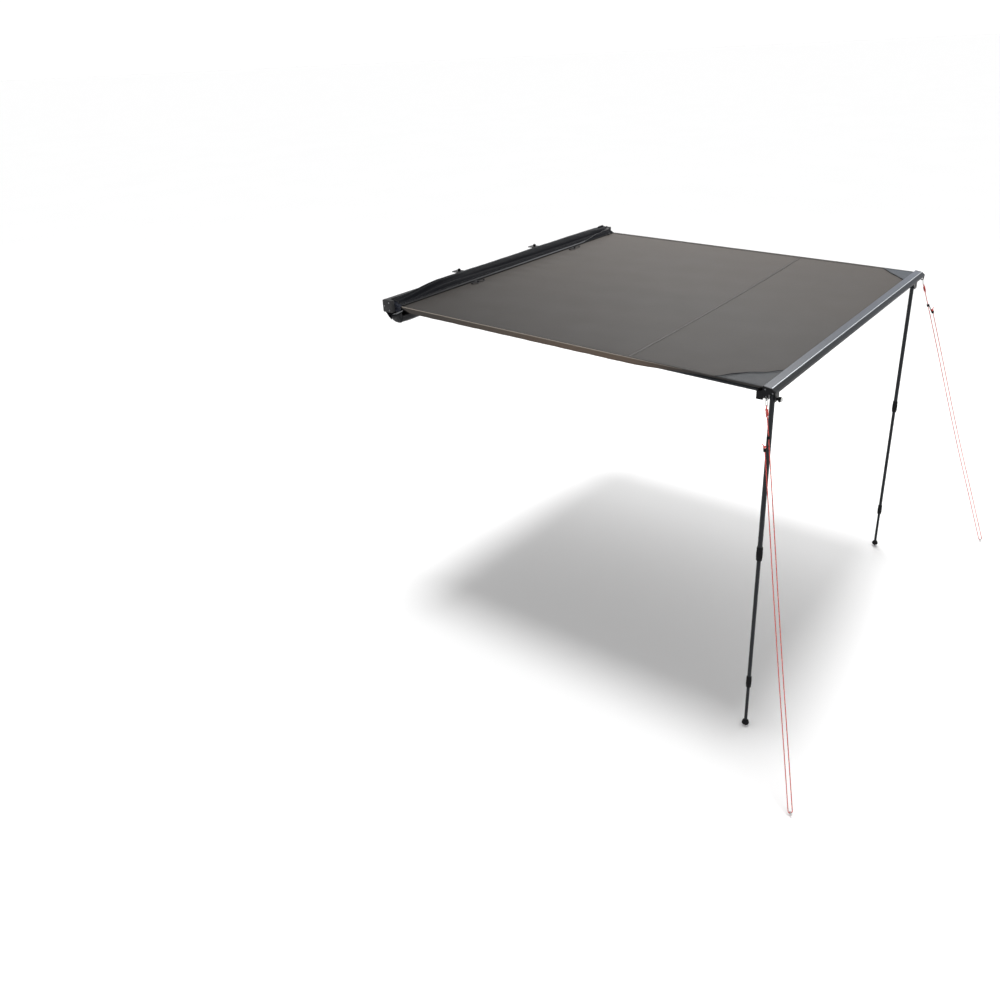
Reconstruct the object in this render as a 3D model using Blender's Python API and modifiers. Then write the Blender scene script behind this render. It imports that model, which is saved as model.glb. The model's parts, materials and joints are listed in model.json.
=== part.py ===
"""A vehicle side awning, opened out, with its legs down and its guy ropes pegged.

Metres, +Z up. The origin is the middle of the back plate's rear face. +X runs along
the plate and -Y out from it to the front rail. The near end is at -X and the far end at +X.
"""

import math

import bmesh
import bpy
from mathutils import Vector

# Shared clearances
FIT = 0.0003
SLIDING_FIT = 0.0004
ROUND_STEPS = 16
FINE_STEPS = 20
SMALL_STEPS = 12

# Canopy
CANOPY_LENGTH = 2.000
CANOPY_OUTREACH = 1.900
CANOPY_FALL = 0.040
CANOPY_SAG = 0.012
CANOPY_THICKNESS = 0.0016
HEM_DROP = 0.024
HEM_TAPER = 0.42
CANOPY_COLUMNS = 16
CANOPY_ROWS = 14
PATCH_ALONG_RAIL = 0.270
PATCH_ALONG_HEM = 0.225
PATCH_THICKNESS = 0.0010

# Back plate
PLATE_OVERHANG = 0.005
PLATE_HEIGHT = 0.060
PLATE_DEPTH = 0.030
PLATE_WALL = 0.0020
BOLT_SLOT_MOUTH = 0.009
BOLT_SLOT_WIDTH = 0.018
BOLT_SLOT_DEPTH = 0.0075
BOLT_SLOT_HEIGHT = -0.014
BEAD_SLOT_HEIGHT = 0.010
BEAD_SLOT_MOUTH = 0.0030
BEAD_SLOT_RADIUS = 0.0026
END_CAP_THICKNESS = 0.025
END_CAP_DEPTH = 0.062
END_CAP_HEIGHT = 0.064
END_CAP_ROUNDING = 0.004

# Mounting brackets, which bolt to the plate's rear face
BRACKET_PLACES = {"front": -0.41, "rear": 0.29}
BRACKET_WIDTH = 0.050
BRACKET_THICKNESS = 0.005
BRACKET_SHELF = 0.058
BRACKET_SEAT_HEIGHT = 0.033
BRACKET_FOOT = 0.030
STUD_PLACE = 0.026
STUD_RADIUS = 0.004
STUD_LENGTH = 0.034

# Bag
COVER_REACH = 0.105
COVER_INSET = 0.010
COVER_THICKNESS = 0.0018
COVER_CROWN = 0.031
COVER_FOLD = 0.0035
COVER_EDGE_RISE = 0.0045
FLAP_DROP = 0.096
FLAP_THICKNESS = 0.0018
SLIDER_INSET = 0.070
SLIDER_LENGTH = 0.022
TIE_SHARES = {"front": -0.455, "rear": 0.496}
TIE_LENGTH = 0.120
TIE_DEPTH = 0.030
TIE_BAND = 0.007
TIE_THICKNESS = 0.0014

# Arms under the canopy's edges
ARM_INSET = 0.055
ARM_DROP = 0.032
ARM_PIVOT_OFFSETS = {"near": 0.016, "far": 0.046}
ARM_OUTER_RADIUS = 0.011
ARM_INNER_RADIUS = 0.009
ARM_WALL = 0.0013
ARM_OUTER_END = 0.955
ARM_OVERLAP = 0.070
ARM_LOCK_LENGTH = 0.060
ARM_LOCK_RADIUS = 0.0140
ARM_PIN_RADIUS = 0.004
ARM_EAR_GAP = 0.0266
ARM_EAR_THICKNESS = 0.003
ARM_BRACKET_WIDTH = 0.030
ARM_TIP_LENGTH = 0.034
ARM_TIP_RADIUS = 0.0115

# Front rail
RAIL_WIDTH = 0.050
RAIL_WALL = 0.0018
RAIL_RISE = 0.009
RAIL_INNER_DEPTH = 0.041
RAIL_FRONT_DEPTH = 0.027
RAIL_RIDGE_PLACE = 0.0335
CORNER_THICKNESS = 0.005
SOCKET_LENGTH = 0.058
SOCKET_DEPTH = 0.024
LUG_OFFSET = 0.013
LUG_RADIUS = 0.0082
LUG_HOLE_RADIUS = 0.0050
LUG_HEIGHT = -0.072

# Legs
LEG_INSETS = {"near": 0.030, "far": 0.130}
LEG_PLACE_IN_RAIL = 0.0272
LEG_PIVOT_HEIGHT = -0.058
LEG_UPPER_RADIUS = 0.0100
LEG_MIDDLE_RADIUS = 0.0085
LEG_LOWER_RADIUS = 0.0071
LEG_WALL = 0.0011
LEG_PIN_RADIUS = 0.003
HINGE_CHEEK_GAP = 0.0300
HINGE_CHEEK_THICKNESS = 0.003
HINGE_LENGTH = 0.036
HINGE_HEIGHT = 0.052
KNUCKLE_RADIUS = 0.0100
KNOB_DROP = 0.028
KNOB_RADIUS = 0.0095
UPPER_LOCK_START = 0.685
UPPER_LOCK_LENGTH = 0.065
LOWER_LOCK_START = 1.348
LOWER_LOCK_LENGTH = 0.060
LOCK_WALL = 0.0024
TUBE_IN_LOCK = 0.037
MIDDLE_OVERLAP = 0.062
LOWER_TUBE_LENGTH = 0.663
FOOT_START = 1.593
FOOT_HEIGHT = 0.020
FOOT_RADIUS = 0.0150
SPIKE_LENGTH = 0.014

# Guy ropes
ROPE_RADIUS = 0.0020
CLIP_WIRE_RADIUS = 0.0018
CLIP_LENGTH = 0.040
CLIP_WIDTH = 0.022
STRAND_GAP = 0.017
TENSIONER_LENGTH = 0.046
TENSIONER_BORE = 0.0027
TENSIONER_SLEEVE = 0.0062
TENSIONER_PLACE = 0.157
ROPE_SAG = 0.006
KNOT_TAIL = 0.014
CLIP_SEAT = 0.0016
PEG_WIRE_RADIUS = 0.0025
PEG_HOOK_RADIUS = 0.009
PEG_DEPTH = 0.150
PEG_LEAN = 0.30

# The way in which a rope's two strands lie side by side: one way at the far end, back at the near
STRAND_SIDE = Vector((0.615, -0.787, 0.0))

# Where each guy rope turns round its peg, from the lug that it starts at
PEG_OFFSETS = {"near": Vector((-0.327, -0.365, -1.596)), "far": Vector((0.259, -0.483, -1.596))}

# Sizes that follow from the driving ones
HALF_LENGTH = CANOPY_LENGTH / 2
PLATE_LENGTH = CANOPY_LENGTH + 2 * PLATE_OVERHANG
COVER_LENGTH = CANOPY_LENGTH - 2 * COVER_INSET
SLIDER_PLACE = HALF_LENGTH - SLIDER_INSET
ARM_PLACE = HALF_LENGTH - ARM_INSET
CANOPY_SLOPE = CANOPY_FALL / CANOPY_OUTREACH
COVER_FRONT = -COVER_REACH
RAIL_INNER = COVER_FRONT - CANOPY_OUTREACH
RAIL_TOP = RAIL_RISE - CANOPY_FALL
LEG_LINE = RAIL_INNER - LEG_PLACE_IN_RAIL
PLATE_FRONT = -PLATE_DEPTH
CANOPY_START = PLATE_FRONT + BEAD_SLOT_RADIUS * 1.4
CANOPY_END = RAIL_INNER - BEAD_SLOT_RADIUS * 1.5
SIDES = {"near": -1, "far": 1}

bodies = {}


def clear_scene():
    """Start from an empty scene."""
    for obj in list(bpy.data.objects):
        bpy.data.objects.remove(obj, do_unlink=True)


def new_collection(name):
    collection = bpy.data.collections.new(name)
    bpy.context.scene.collection.children.link(collection)
    return collection


def finish(name, colour, roughness, metallic=0.0):
    """A material with one Principled shader."""
    material = bpy.data.materials.new(name)
    material.use_nodes = True
    shader = material.node_tree.nodes["Principled BSDF"]
    shader.inputs["Base Color"].default_value = (*colour, 1.0)
    shader.inputs["Roughness"].default_value = roughness
    shader.inputs["Metallic"].default_value = metallic
    return material


def body(name, place, parent=None):
    """An empty on a joint's axis, which carries the pieces that move with it."""
    empty = bpy.data.objects.new(name, None)
    empty.empty_display_size = 0.03
    parts.objects.link(empty)
    carried = bodies[parent] if parent else Vector()
    empty.location = Vector(place) - carried
    if parent:
        empty.parent = bpy.data.objects[parent]
    bodies[name] = Vector(place)


def put(obj, place=(0, 0, 0), rotation=None, carrier=None, material=None):
    """Place an object in the world, on the body that carries it."""
    parts.objects.link(obj)
    obj.location = Vector(place) - (bodies[carrier] if carrier else Vector())
    if rotation is not None:
        obj.rotation_euler = rotation
    if carrier:
        obj.parent = bpy.data.objects[carrier]
    if material:
        obj.data.materials.append(material)
    return obj


def facing(direction):
    """The rotation that turns local +Z to a direction."""
    return Vector(direction).to_track_quat("Z", "Y").to_euler()


ALONG_X = (math.pi / 2, 0.0, math.pi / 2)


def prism(name, outlines, length, place, rotation, carrier, material):
    """A flat outline, with any holes after it, given a length along its own Z."""
    curve = bpy.data.curves.new(name, "CURVE")
    curve.dimensions = "2D"
    curve.fill_mode = "BOTH"
    curve.extrude = length / 2
    for outline in outlines:
        spline = curve.splines.new("POLY")
        spline.points.add(len(outline) - 1)
        for point, (across, up) in zip(spline.points, outline):
            point.co = (across, up, 0.0, 1.0)
        spline.use_cyclic_u = True
    return put(bpy.data.objects.new(name, curve), place, rotation, carrier, material)


def turned(name, profile, place, direction, carrier, material, ring=False, steps=ROUND_STEPS):
    """A round piece. Its profile of radius and height runs down the outer side."""
    mesh = bpy.data.meshes.new(name)
    points = [(radius, 0.0, height) for radius, height in profile]
    edges = [(index, index + 1) for index in range(len(points) - 1)]
    if ring:
        edges.append((len(points) - 1, 0))
    mesh.from_pydata(points, edges, [])
    obj = put(bpy.data.objects.new(name, mesh), place, facing(direction), carrier, material)
    screw = obj.modifiers.new("turn", "SCREW")
    screw.axis = "Z"
    screw.angle = 2 * math.pi
    screw.steps = steps
    screw.render_steps = steps
    screw.use_merge_vertices = True
    screw.merge_threshold = 0.00001
    screw.use_smooth_shade = True
    return obj


def pipe(name, start, end, outer, wall, place, direction, carrier, material):
    """A round tube from one distance to another along a direction."""
    inner = outer - wall
    profile = [(outer, end), (outer, start), (inner, start), (inner, end)]
    return turned(name, profile, place, direction, carrier, material, ring=True)


def block(name, low, high, carrier, material, rounding=0.0):
    """A box between two corners, with rounded edges where asked."""
    size = Vector(high) - Vector(low)
    mesh = bpy.data.meshes.new(name)
    shape = bmesh.new()
    bmesh.ops.create_cube(shape, size=1.0)
    bmesh.ops.scale(shape, vec=size, verts=shape.verts)
    shape.to_mesh(mesh)
    shape.free()
    obj = put(bpy.data.objects.new(name, mesh), (Vector(low) + Vector(high)) / 2, None, carrier, material)
    if rounding:
        bevel = obj.modifiers.new("rounding", "BEVEL")
        bevel.width = rounding
        bevel.segments = 2
    return obj


def wire(name, points, radius, carrier, material, ring=False, sides=2):
    """A round wire or rope through points."""
    curve = bpy.data.curves.new(name, "CURVE")
    curve.dimensions = "3D"
    curve.bevel_depth = radius
    curve.bevel_resolution = sides
    curve.use_fill_caps = not ring
    origin = Vector(points[0])
    spline = curve.splines.new("POLY")
    spline.points.add(len(points) - 1)
    for point, place in zip(spline.points, points):
        point.co = (*(Vector(place) - origin), 1.0)
    spline.use_cyclic_u = ring
    return put(bpy.data.objects.new(name, curve), origin, None, carrier, material)


def as_mesh(obj):
    """The same piece as a welded mesh, ready to be cut or joined."""
    bpy.context.view_layer.update()
    graph = bpy.context.evaluated_depsgraph_get()
    mesh = bpy.data.meshes.new_from_object(obj.evaluated_get(graph))
    shape = bmesh.new()
    shape.from_mesh(mesh)
    bmesh.ops.remove_doubles(shape, verts=shape.verts, dist=0.00001)
    shape.to_mesh(mesh)
    shape.free()
    name = obj.name
    copy = bpy.data.objects.new(name + "_mesh", mesh)
    parts.objects.link(copy)
    copy.parent = obj.parent
    copy.location = obj.location
    copy.rotation_euler = obj.rotation_euler
    bpy.data.objects.remove(obj, do_unlink=True)
    copy.name = name
    return copy


def combine(target, tool, operation):
    """Join a tool shape to a piece, or cut it out of the piece."""
    parts.objects.unlink(tool)
    cutters.objects.link(tool)
    tool.hide_render = True
    tool.display_type = "WIRE"
    boolean = target.modifiers.new(operation.lower(), "BOOLEAN")
    boolean.operation = operation
    boolean.object = tool
    boolean.solver = "EXACT"


def sheet(name, rows, thickness, carrier, material, offset):
    """A thin sheet over a grid of points, thickened to one side."""
    mesh = bpy.data.meshes.new(name)
    shape = bmesh.new()
    grid = [[shape.verts.new(point) for point in row] for row in rows]
    for upper, lower in zip(grid, grid[1:]):
        for index in range(len(upper) - 1):
            shape.faces.new((upper[index], lower[index], lower[index + 1], upper[index + 1]))
    shape.to_mesh(mesh)
    shape.free()
    obj = put(bpy.data.objects.new(name, mesh), (0, 0, 0), None, carrier, material)
    skin = obj.modifiers.new("thickness", "SOLIDIFY")
    skin.thickness = thickness
    skin.offset = offset
    return obj


def circle(across, up, radius, count, start=0.0):
    """Points round a circle."""
    turn = 2 * math.pi / count
    return [
        (across + radius * math.cos(start + step * turn), up + radius * math.sin(start + step * turn))
        for step in range(count)
    ]


def bead_slot(mouth_face, height, inward):
    """The points of a round groove that holds the canopy's bead, open at a flat face."""
    half = BEAD_SLOT_MOUTH / 2
    wall = 0.0014
    opening = math.asin(half / BEAD_SLOT_RADIUS)
    centre = mouth_face + inward * (wall + BEAD_SLOT_RADIUS * math.cos(opening))
    points = [(mouth_face, height + half)]
    for step in range(9):
        angle = opening + step * (2 * math.pi - 2 * opening) / 8
        across = centre - inward * BEAD_SLOT_RADIUS * math.cos(angle)
        points.append((across, height + BEAD_SLOT_RADIUS * math.sin(angle)))
    points.append((mouth_face, height - half))
    return points


def canopy_height(y):
    """The height of the stretched canopy's top at a place along its outreach."""
    if y > COVER_FRONT:
        share = min(1.0, (y - COVER_FRONT) / (PLATE_FRONT - COVER_FRONT))
        return share * (BEAD_SLOT_HEIGHT + CANOPY_THICKNESS / 2)
    if y < RAIL_INNER:
        return canopy_height(RAIL_INNER)
    return (y - COVER_FRONT) * CANOPY_SLOPE


def canopy_top(x, y):
    """The canopy's top with its slight sag between the two arms."""
    along = max(0.0, min(1.0, (COVER_FRONT - y) / CANOPY_OUTREACH))
    sag = CANOPY_SAG * (1 - (x / HALF_LENGTH) ** 2) * math.sin(math.pi * along) ** 1.5
    return canopy_height(y) - sag


def arm_height(y):
    """The height of an arm's centreline."""
    return (y - COVER_FRONT) * CANOPY_SLOPE - ARM_DROP


SLOPE_ANGLE = math.atan(CANOPY_SLOPE)
ARM_DIRECTION = Vector((0.0, -math.cos(SLOPE_ANGLE), -math.sin(SLOPE_ANGLE)))


def back_plate():
    """The extrusion that carries everything, with a bolt slot behind and a bead slot in front."""
    half = PLATE_HEIGHT / 2
    wall = PLATE_WALL
    slot = BOLT_SLOT_HEIGHT
    mouth = BOLT_SLOT_MOUTH / 2
    wide = BOLT_SLOT_WIDTH / 2
    outline = [(PLATE_FRONT, half)]
    outline += bead_slot(PLATE_FRONT, BEAD_SLOT_HEIGHT, 1)
    outline += [(PLATE_FRONT, -half), (0.0, -half), (0.0, slot - mouth), (-wall, slot - mouth)]
    outline += [(-wall, slot - wide), (-BOLT_SLOT_DEPTH, slot - wide), (-BOLT_SLOT_DEPTH, slot + wide)]
    outline += [(-wall, slot + wide), (-wall, slot + mouth), (0.0, slot + mouth), (0.0, half)]
    front = PLATE_FRONT + wall
    around = BEAD_SLOT_RADIUS + wall
    behind_bead = PLATE_FRONT + 0.0014 + BEAD_SLOT_RADIUS * 2 + wall
    behind_slot = -BOLT_SLOT_DEPTH - wall
    hollow = [(front, wall - half), (behind_slot, wall - half), (behind_slot, slot + wide + wall)]
    hollow += [(-wall, slot + wide + wall), (-wall, half - wall), (front, half - wall)]
    hollow += [(front, BEAD_SLOT_HEIGHT + around), (behind_bead, BEAD_SLOT_HEIGHT + around)]
    hollow += [(behind_bead, BEAD_SLOT_HEIGHT - around), (front, BEAD_SLOT_HEIGHT - around)]
    prism("back_plate", [outline, hollow], PLATE_LENGTH, (0, 0, 0), ALONG_X, None, ALUMINIUM)


def end_caps():
    """The moulded blocks that close the plate's ends."""
    half = END_CAP_HEIGHT / 2
    for end, side in SIDES.items():
        inner = side * (PLATE_LENGTH / 2 + FIT)
        outer = inner + side * END_CAP_THICKNESS
        low = (min(inner, outer), -END_CAP_DEPTH, -half)
        high = (max(inner, outer), 0.0, half)
        block(f"end_cap_{end}", low, high, None, BLACK_PLASTIC, END_CAP_ROUNDING)


def mounting_brackets():
    """The two angle brackets, each with its slot bolt and its upright stud and knob."""
    thick = BRACKET_THICKNESS
    seat = BRACKET_SEAT_HEIGHT
    outline = [(FIT, -BRACKET_FOOT), (FIT + thick, -BRACKET_FOOT), (FIT + thick, seat)]
    outline += [(BRACKET_SHELF, seat), (BRACKET_SHELF, seat + thick), (FIT + 0.003, seat + thick)]
    outline += [(FIT, seat + thick - 0.003)]
    for name, place in BRACKET_PLACES.items():
        bracket = prism(
            f"mounting_bracket_{name}", [outline], BRACKET_WIDTH, (place, 0, 0), ALONG_X, None, BLACK_STEEL
        )
        bracket = as_mesh(bracket)
        hole = STUD_RADIUS + FIT
        across = [(0.0, 0.02), (hole, 0.02), (hole, -0.01), (0.0, -0.01)]
        slot = (place, 0, BOLT_SLOT_HEIGHT)
        slot_hole = turned(f"slot_hole_{name}", across, slot, (0, 1, 0), None, None)
        combine(bracket, slot_hole, "DIFFERENCE")
        upright = [(0.0, 0.06), (hole, 0.06), (hole, 0.02), (0.0, 0.02)]
        stud_hole = turned(f"stud_hole_{name}", upright, (place, STUD_PLACE, 0), (0, 0, 1), None, None)
        combine(bracket, stud_hole, "DIFFERENCE")
        head = BOLT_SLOT_WIDTH / 2 - FIT * 2
        behind = -PLATE_WALL - FIT
        nut = FIT + thick + FIT
        bolt = [(0.0, 0.017), (0.0036, 0.017), (0.0040, 0.0165), (0.0040, nut + 0.0070)]
        bolt += [(0.0068, nut + 0.0065), (0.0068, nut), (STUD_RADIUS, nut), (STUD_RADIUS, behind)]
        bolt += [(head, behind), (head, behind - 0.004), (0.0, behind - 0.004)]
        turned(f"slot_bolt_{name}", bolt, slot, (0, 1, 0), None, BLACK_STEEL, steps=SMALL_STEPS)
        top = seat + thick + FIT
        stud = [(0.0, top + 0.014), (0.0062, top + 0.013), (0.0085, top + 0.009), (0.0085, top + 0.003)]
        stud += [(0.0066, top), (STUD_RADIUS, top), (STUD_RADIUS, seat - STUD_LENGTH + 0.001)]
        stud += [(STUD_RADIUS - 0.001, seat - STUD_LENGTH), (0.0, seat - STUD_LENGTH)]
        turned(f"bar_stud_{name}", stud, (place, STUD_PLACE, 0), (0, 0, 1), None, BLACK_PLASTIC)


def cover_point(x, share):
    """A point of the bag's cover, from the plate's top to the cover's front edge."""
    rear = Vector((-0.003, PLATE_HEIGHT / 2 + FIT))
    front = Vector((COVER_FRONT + COVER_THICKNESS, COVER_EDGE_RISE))
    line = rear.lerp(front, share)
    end = min(1.0, abs(x) / (COVER_LENGTH / 2))
    crown = COVER_CROWN * (1 - 0.5 * end**5)
    rise = crown * math.sin(math.pi * share**0.8)
    fade = math.sin(math.pi * share) * (1 - 0.7 * end**4)
    fold = COVER_FOLD * fade * math.sin(2 * math.pi * (2.5 * share + 0.8 * x))
    return Vector((x, line.x, line.y + rise + fold))


def bag():
    """The bag's open cover and its hanging lower flap, the zip's slider and the two tie loops."""
    columns = 22
    rows = 10
    ends = [COVER_LENGTH * (column / columns - 0.5) for column in range(columns + 1)]
    grid = [[cover_point(x, row / rows) for x in ends] for row in range(rows + 1)]
    sheet("bag_cover", grid, COVER_THICKNESS, None, BAG_FABRIC, 1.0)
    top = -PLATE_HEIGHT / 2 - FIT
    depth = FLAP_DROP + top
    across = [0.03, 0.04, 0.11, 0.29, 0.55, 0.80, 0.97]
    down = [0.0, 0.34, 0.76, 1.0, 1.01, 0.86, 0.63]
    profile = [(COVER_FRONT * reach, top - depth * drop) for reach, drop in zip(across, down)]
    flap_columns = 8
    flap = []
    for y, z in profile:
        row = []
        for column in range(flap_columns + 1):
            x = COVER_LENGTH * (column / flap_columns - 0.5)
            row.append(Vector((x, y, z)))
        flap.append(row)
    sheet("bag_lower_flap", flap, FLAP_THICKNESS, None, BAG_FABRIC, 0.0)


def zip_slider():
    """The slider, which runs along the cover's front edge."""
    body("zip", (SLIDER_PLACE, COVER_FRONT, 0.0))
    low = COVER_EDGE_RISE
    back = 0.0001
    outline = [(back, low), (back, low + 0.0065), (-0.006, low + 0.0065)]
    outline += [(-0.010, low + 0.003), (-0.010, low)]
    place = (SLIDER_PLACE, COVER_FRONT, 0.0)
    prism("zip_slider", [outline], SLIDER_LENGTH, place, ALONG_X, "zip", BLACK_PLASTIC)


def tie_loops():
    """The flat webbing loops that tie up the rolled awning."""
    for name, share in TIE_SHARES.items():
        place = share * HALF_LENGTH
        half = TIE_LENGTH / 2
        back = TIE_DEPTH * 0.45
        front = -TIE_DEPTH * 0.55
        corner = 0.010
        outer = []
        for across, up, start in (
            (half - corner, back - corner, 0.0),
            (corner - half, back - corner, 0.5),
            (corner - half, front + corner, 1.0),
            (half - corner, front + corner, 1.5),
        ):
            for step in range(3):
                angle = (start + step * 0.25) * math.pi
                outer.append((across + corner * math.cos(angle), up + corner * math.sin(angle)))
        scale_x = (half - TIE_BAND) / half
        scale_y = (TIE_DEPTH / 2 - TIE_BAND) / (TIE_DEPTH / 2)
        middle = (back + front) / 2
        inner = [(across * scale_x, middle + (up - middle) * scale_y) for across, up in outer]
        y = COVER_FRONT - TIE_DEPTH * 0.45 - FIT
        height = canopy_height(y) + FIT + TIE_THICKNESS / 2
        prism(
            f"tie_loop_{name}",
            [outer, inner],
            TIE_THICKNESS,
            (place, y, height),
            (SLOPE_ANGLE, 0.0, 0.0),
            None,
            BAG_FABRIC,
        )


def canopy():
    """The stretched cloth, with a hem that hangs down along its two free edges."""
    across = [HALF_LENGTH * (2 * column / CANOPY_COLUMNS - 1) for column in range(CANOPY_COLUMNS + 1)]
    outreach = [COVER_FRONT - CANOPY_OUTREACH * row / CANOPY_ROWS for row in range(CANOPY_ROWS + 1)]
    lines = [CANOPY_START, PLATE_FRONT - 0.004] + outreach[:-1] + [RAIL_INNER + 0.003, CANOPY_END]
    rows = []
    for y in lines:
        drop = CANOPY_THICKNESS * 1.1
        if RAIL_INNER + 0.010 < y <= COVER_FRONT:
            drop += HEM_DROP * min(1.0, 0.15 + (y - RAIL_INNER) / HEM_TAPER)
        row = [Vector((-HALF_LENGTH, y, canopy_top(-HALF_LENGTH, y) - drop))]
        row += [Vector((x, y, canopy_top(x, y))) for x in across]
        row.append(Vector((HALF_LENGTH, y, canopy_top(HALF_LENGTH, y) - drop)))
        rows.append(row)
    sheet("awning_canopy", rows, CANOPY_THICKNESS, None, CANOPY_FABRIC, -1.0)


def corner_patches():
    """The sewn reinforcements at the canopy's two outer corners."""
    divisions = 5
    for end, side in SIDES.items():
        mesh = bpy.data.meshes.new(f"corner_patch_{end}")
        shape = bmesh.new()
        corner_x = side * (HALF_LENGTH - 0.004)
        corner_y = RAIL_INNER + 0.002
        rings = []
        for step in range(divisions + 1):
            ring = []
            for index in range(step + 1):
                along_rail = (step - index) / divisions * PATCH_ALONG_RAIL
                along_hem = index / divisions * PATCH_ALONG_HEM
                x = corner_x - side * along_rail
                y = corner_y + along_hem
                ring.append(shape.verts.new((x, y, canopy_top(x, y) + FIT * 1.5)))
            rings.append(ring)
        for step in range(divisions):
            upper, lower = rings[step], rings[step + 1]
            for index in range(step + 1):
                corners = [upper[index], lower[index], lower[index + 1]]
                shape.faces.new(corners if side < 0 else reversed(corners))
                if index < step:
                    corners = [upper[index], lower[index + 1], upper[index + 1]]
                    shape.faces.new(corners if side < 0 else reversed(corners))
        shape.to_mesh(mesh)
        shape.free()
        obj = put(bpy.data.objects.new(f"corner_patch_{end}", mesh), (0, 0, 0), None, "rail", PATCH_FABRIC)
        skin = obj.modifiers.new("thickness", "SOLIDIFY")
        skin.thickness = PATCH_THICKNESS
        skin.offset = 1.0


def arm(end, side):
    """One arm: its pivot bracket, knuckle, outer tube, twist lock, inner tube and tip."""
    pivot_y = PLATE_FRONT - ARM_PIVOT_OFFSETS[end]
    x = side * ARM_PLACE
    pivot = Vector((x, pivot_y, arm_height(pivot_y)))
    gap = ARM_EAR_GAP / 2
    ear = gap + ARM_EAR_THICKNESS
    base = PLATE_FRONT - FIT
    web = base - 0.004
    reach = pivot_y - ARM_OUTER_RADIUS - 0.001
    top = BEAD_SLOT_HEIGHT - BEAD_SLOT_MOUTH / 2 - 0.003
    outline = [(base, top), (base, pivot.z - ear), (reach, pivot.z - ear), (reach, pivot.z - gap)]
    outline += [(web, pivot.z - gap), (web, pivot.z + gap), (reach, pivot.z + gap), (reach, pivot.z + ear)]
    outline += [(web, pivot.z + ear), (web, top)]
    bracket = prism(f"arm_bracket_{end}", [outline], ARM_BRACKET_WIDTH, (x, 0, 0), ALONG_X, None, BLACK_STEEL)
    bracket = as_mesh(bracket)
    into_ear = gap + ARM_EAR_THICKNESS / 2
    pin = [(0.0, into_ear), (ARM_PIN_RADIUS, into_ear), (ARM_PIN_RADIUS, -into_ear), (0.0, -into_ear)]
    combine(bracket, turned(f"arm_pin_{end}", pin, pivot, (0, 0, 1), None, None), "UNION")

    swing = f"{end}_arm"
    body(swing, pivot)
    tall = gap - FIT * 2
    bore = ARM_PIN_RADIUS + FIT
    radius = ARM_OUTER_RADIUS
    boss = [(radius, tall), (radius, -tall), (bore, -tall), (bore, tall)]
    knuckle = turned(f"arm_knuckle_{end}", boss, pivot, (0, 0, 1), swing, BLACK_PLASTIC, ring=True)
    plug_radius = ARM_OUTER_RADIUS - ARM_WALL - FIT
    plug = [(0.0, 0.040), (plug_radius, 0.040), (plug_radius, 0.0138), (radius, 0.0138)]
    plug += [(radius, 0.0070), (0.0, 0.0070)]
    combine(knuckle, turned(f"arm_plug_{end}", plug, pivot, ARM_DIRECTION, None, None), "UNION")
    pipe(
        f"arm_outer_tube_{end}",
        0.0142,
        ARM_OUTER_END,
        radius,
        ARM_WALL,
        pivot,
        ARM_DIRECTION,
        swing,
        BLACK_TUBE,
    )

    lock = f"{end}_arm_lock"
    lock_place = pivot + ARM_DIRECTION * ARM_OUTER_END
    body(lock, lock_place, swing)
    twist_lock(
        f"arm_lock_{end}",
        ARM_LOCK_LENGTH,
        ARM_LOCK_RADIUS,
        radius,
        ARM_INNER_RADIUS,
        lock_place,
        ARM_DIRECTION,
        lock,
    )

    slide = f"{end}_arm_inner"
    body(slide, pivot, swing)
    total = (pivot_y - RAIL_INNER - CORNER_THICKNESS) / math.cos(SLOPE_ANGLE)
    shoulder = total - ARM_TIP_LENGTH
    pipe(
        f"arm_inner_tube_{end}",
        ARM_OUTER_END - ARM_OVERLAP,
        shoulder - FIT,
        ARM_INNER_RADIUS,
        ARM_WALL,
        pivot,
        ARM_DIRECTION,
        slide,
        BLACK_TUBE,
    )
    inside = ARM_INNER_RADIUS - ARM_WALL - FIT
    tip = [(0.0, total), (ARM_TIP_RADIUS - 0.002, total), (ARM_TIP_RADIUS, total - 0.002)]
    tip += [(ARM_TIP_RADIUS, shoulder + 0.006), (ARM_INNER_RADIUS, shoulder), (inside, shoulder)]
    tip += [(inside, shoulder - 0.020), (0.0, shoulder - 0.020)]
    turned(f"arm_tip_{end}", tip, pivot, ARM_DIRECTION, slide, BLACK_PLASTIC)


def twist_lock(name, length, radius, outer_tube, inner_tube, place, direction, carrier):
    """A collar over a tube's end that grips the next tube. Its place is where the outer tube ends."""
    start = -TUBE_IN_LOCK
    end = length - TUBE_IN_LOCK
    wide = outer_tube + FIT * 2
    narrow = inner_tube + SLIDING_FIT
    lip = 0.003
    profile = [(radius - 0.002, end), (radius, end - lip), (radius, start + lip), (radius - 0.0015, start)]
    profile += [(wide, start), (wide, FIT), (narrow, FIT), (narrow, end)]
    turned(name, profile, place, direction, carrier, BLACK_PLASTIC, ring=True, steps=FINE_STEPS)


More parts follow.
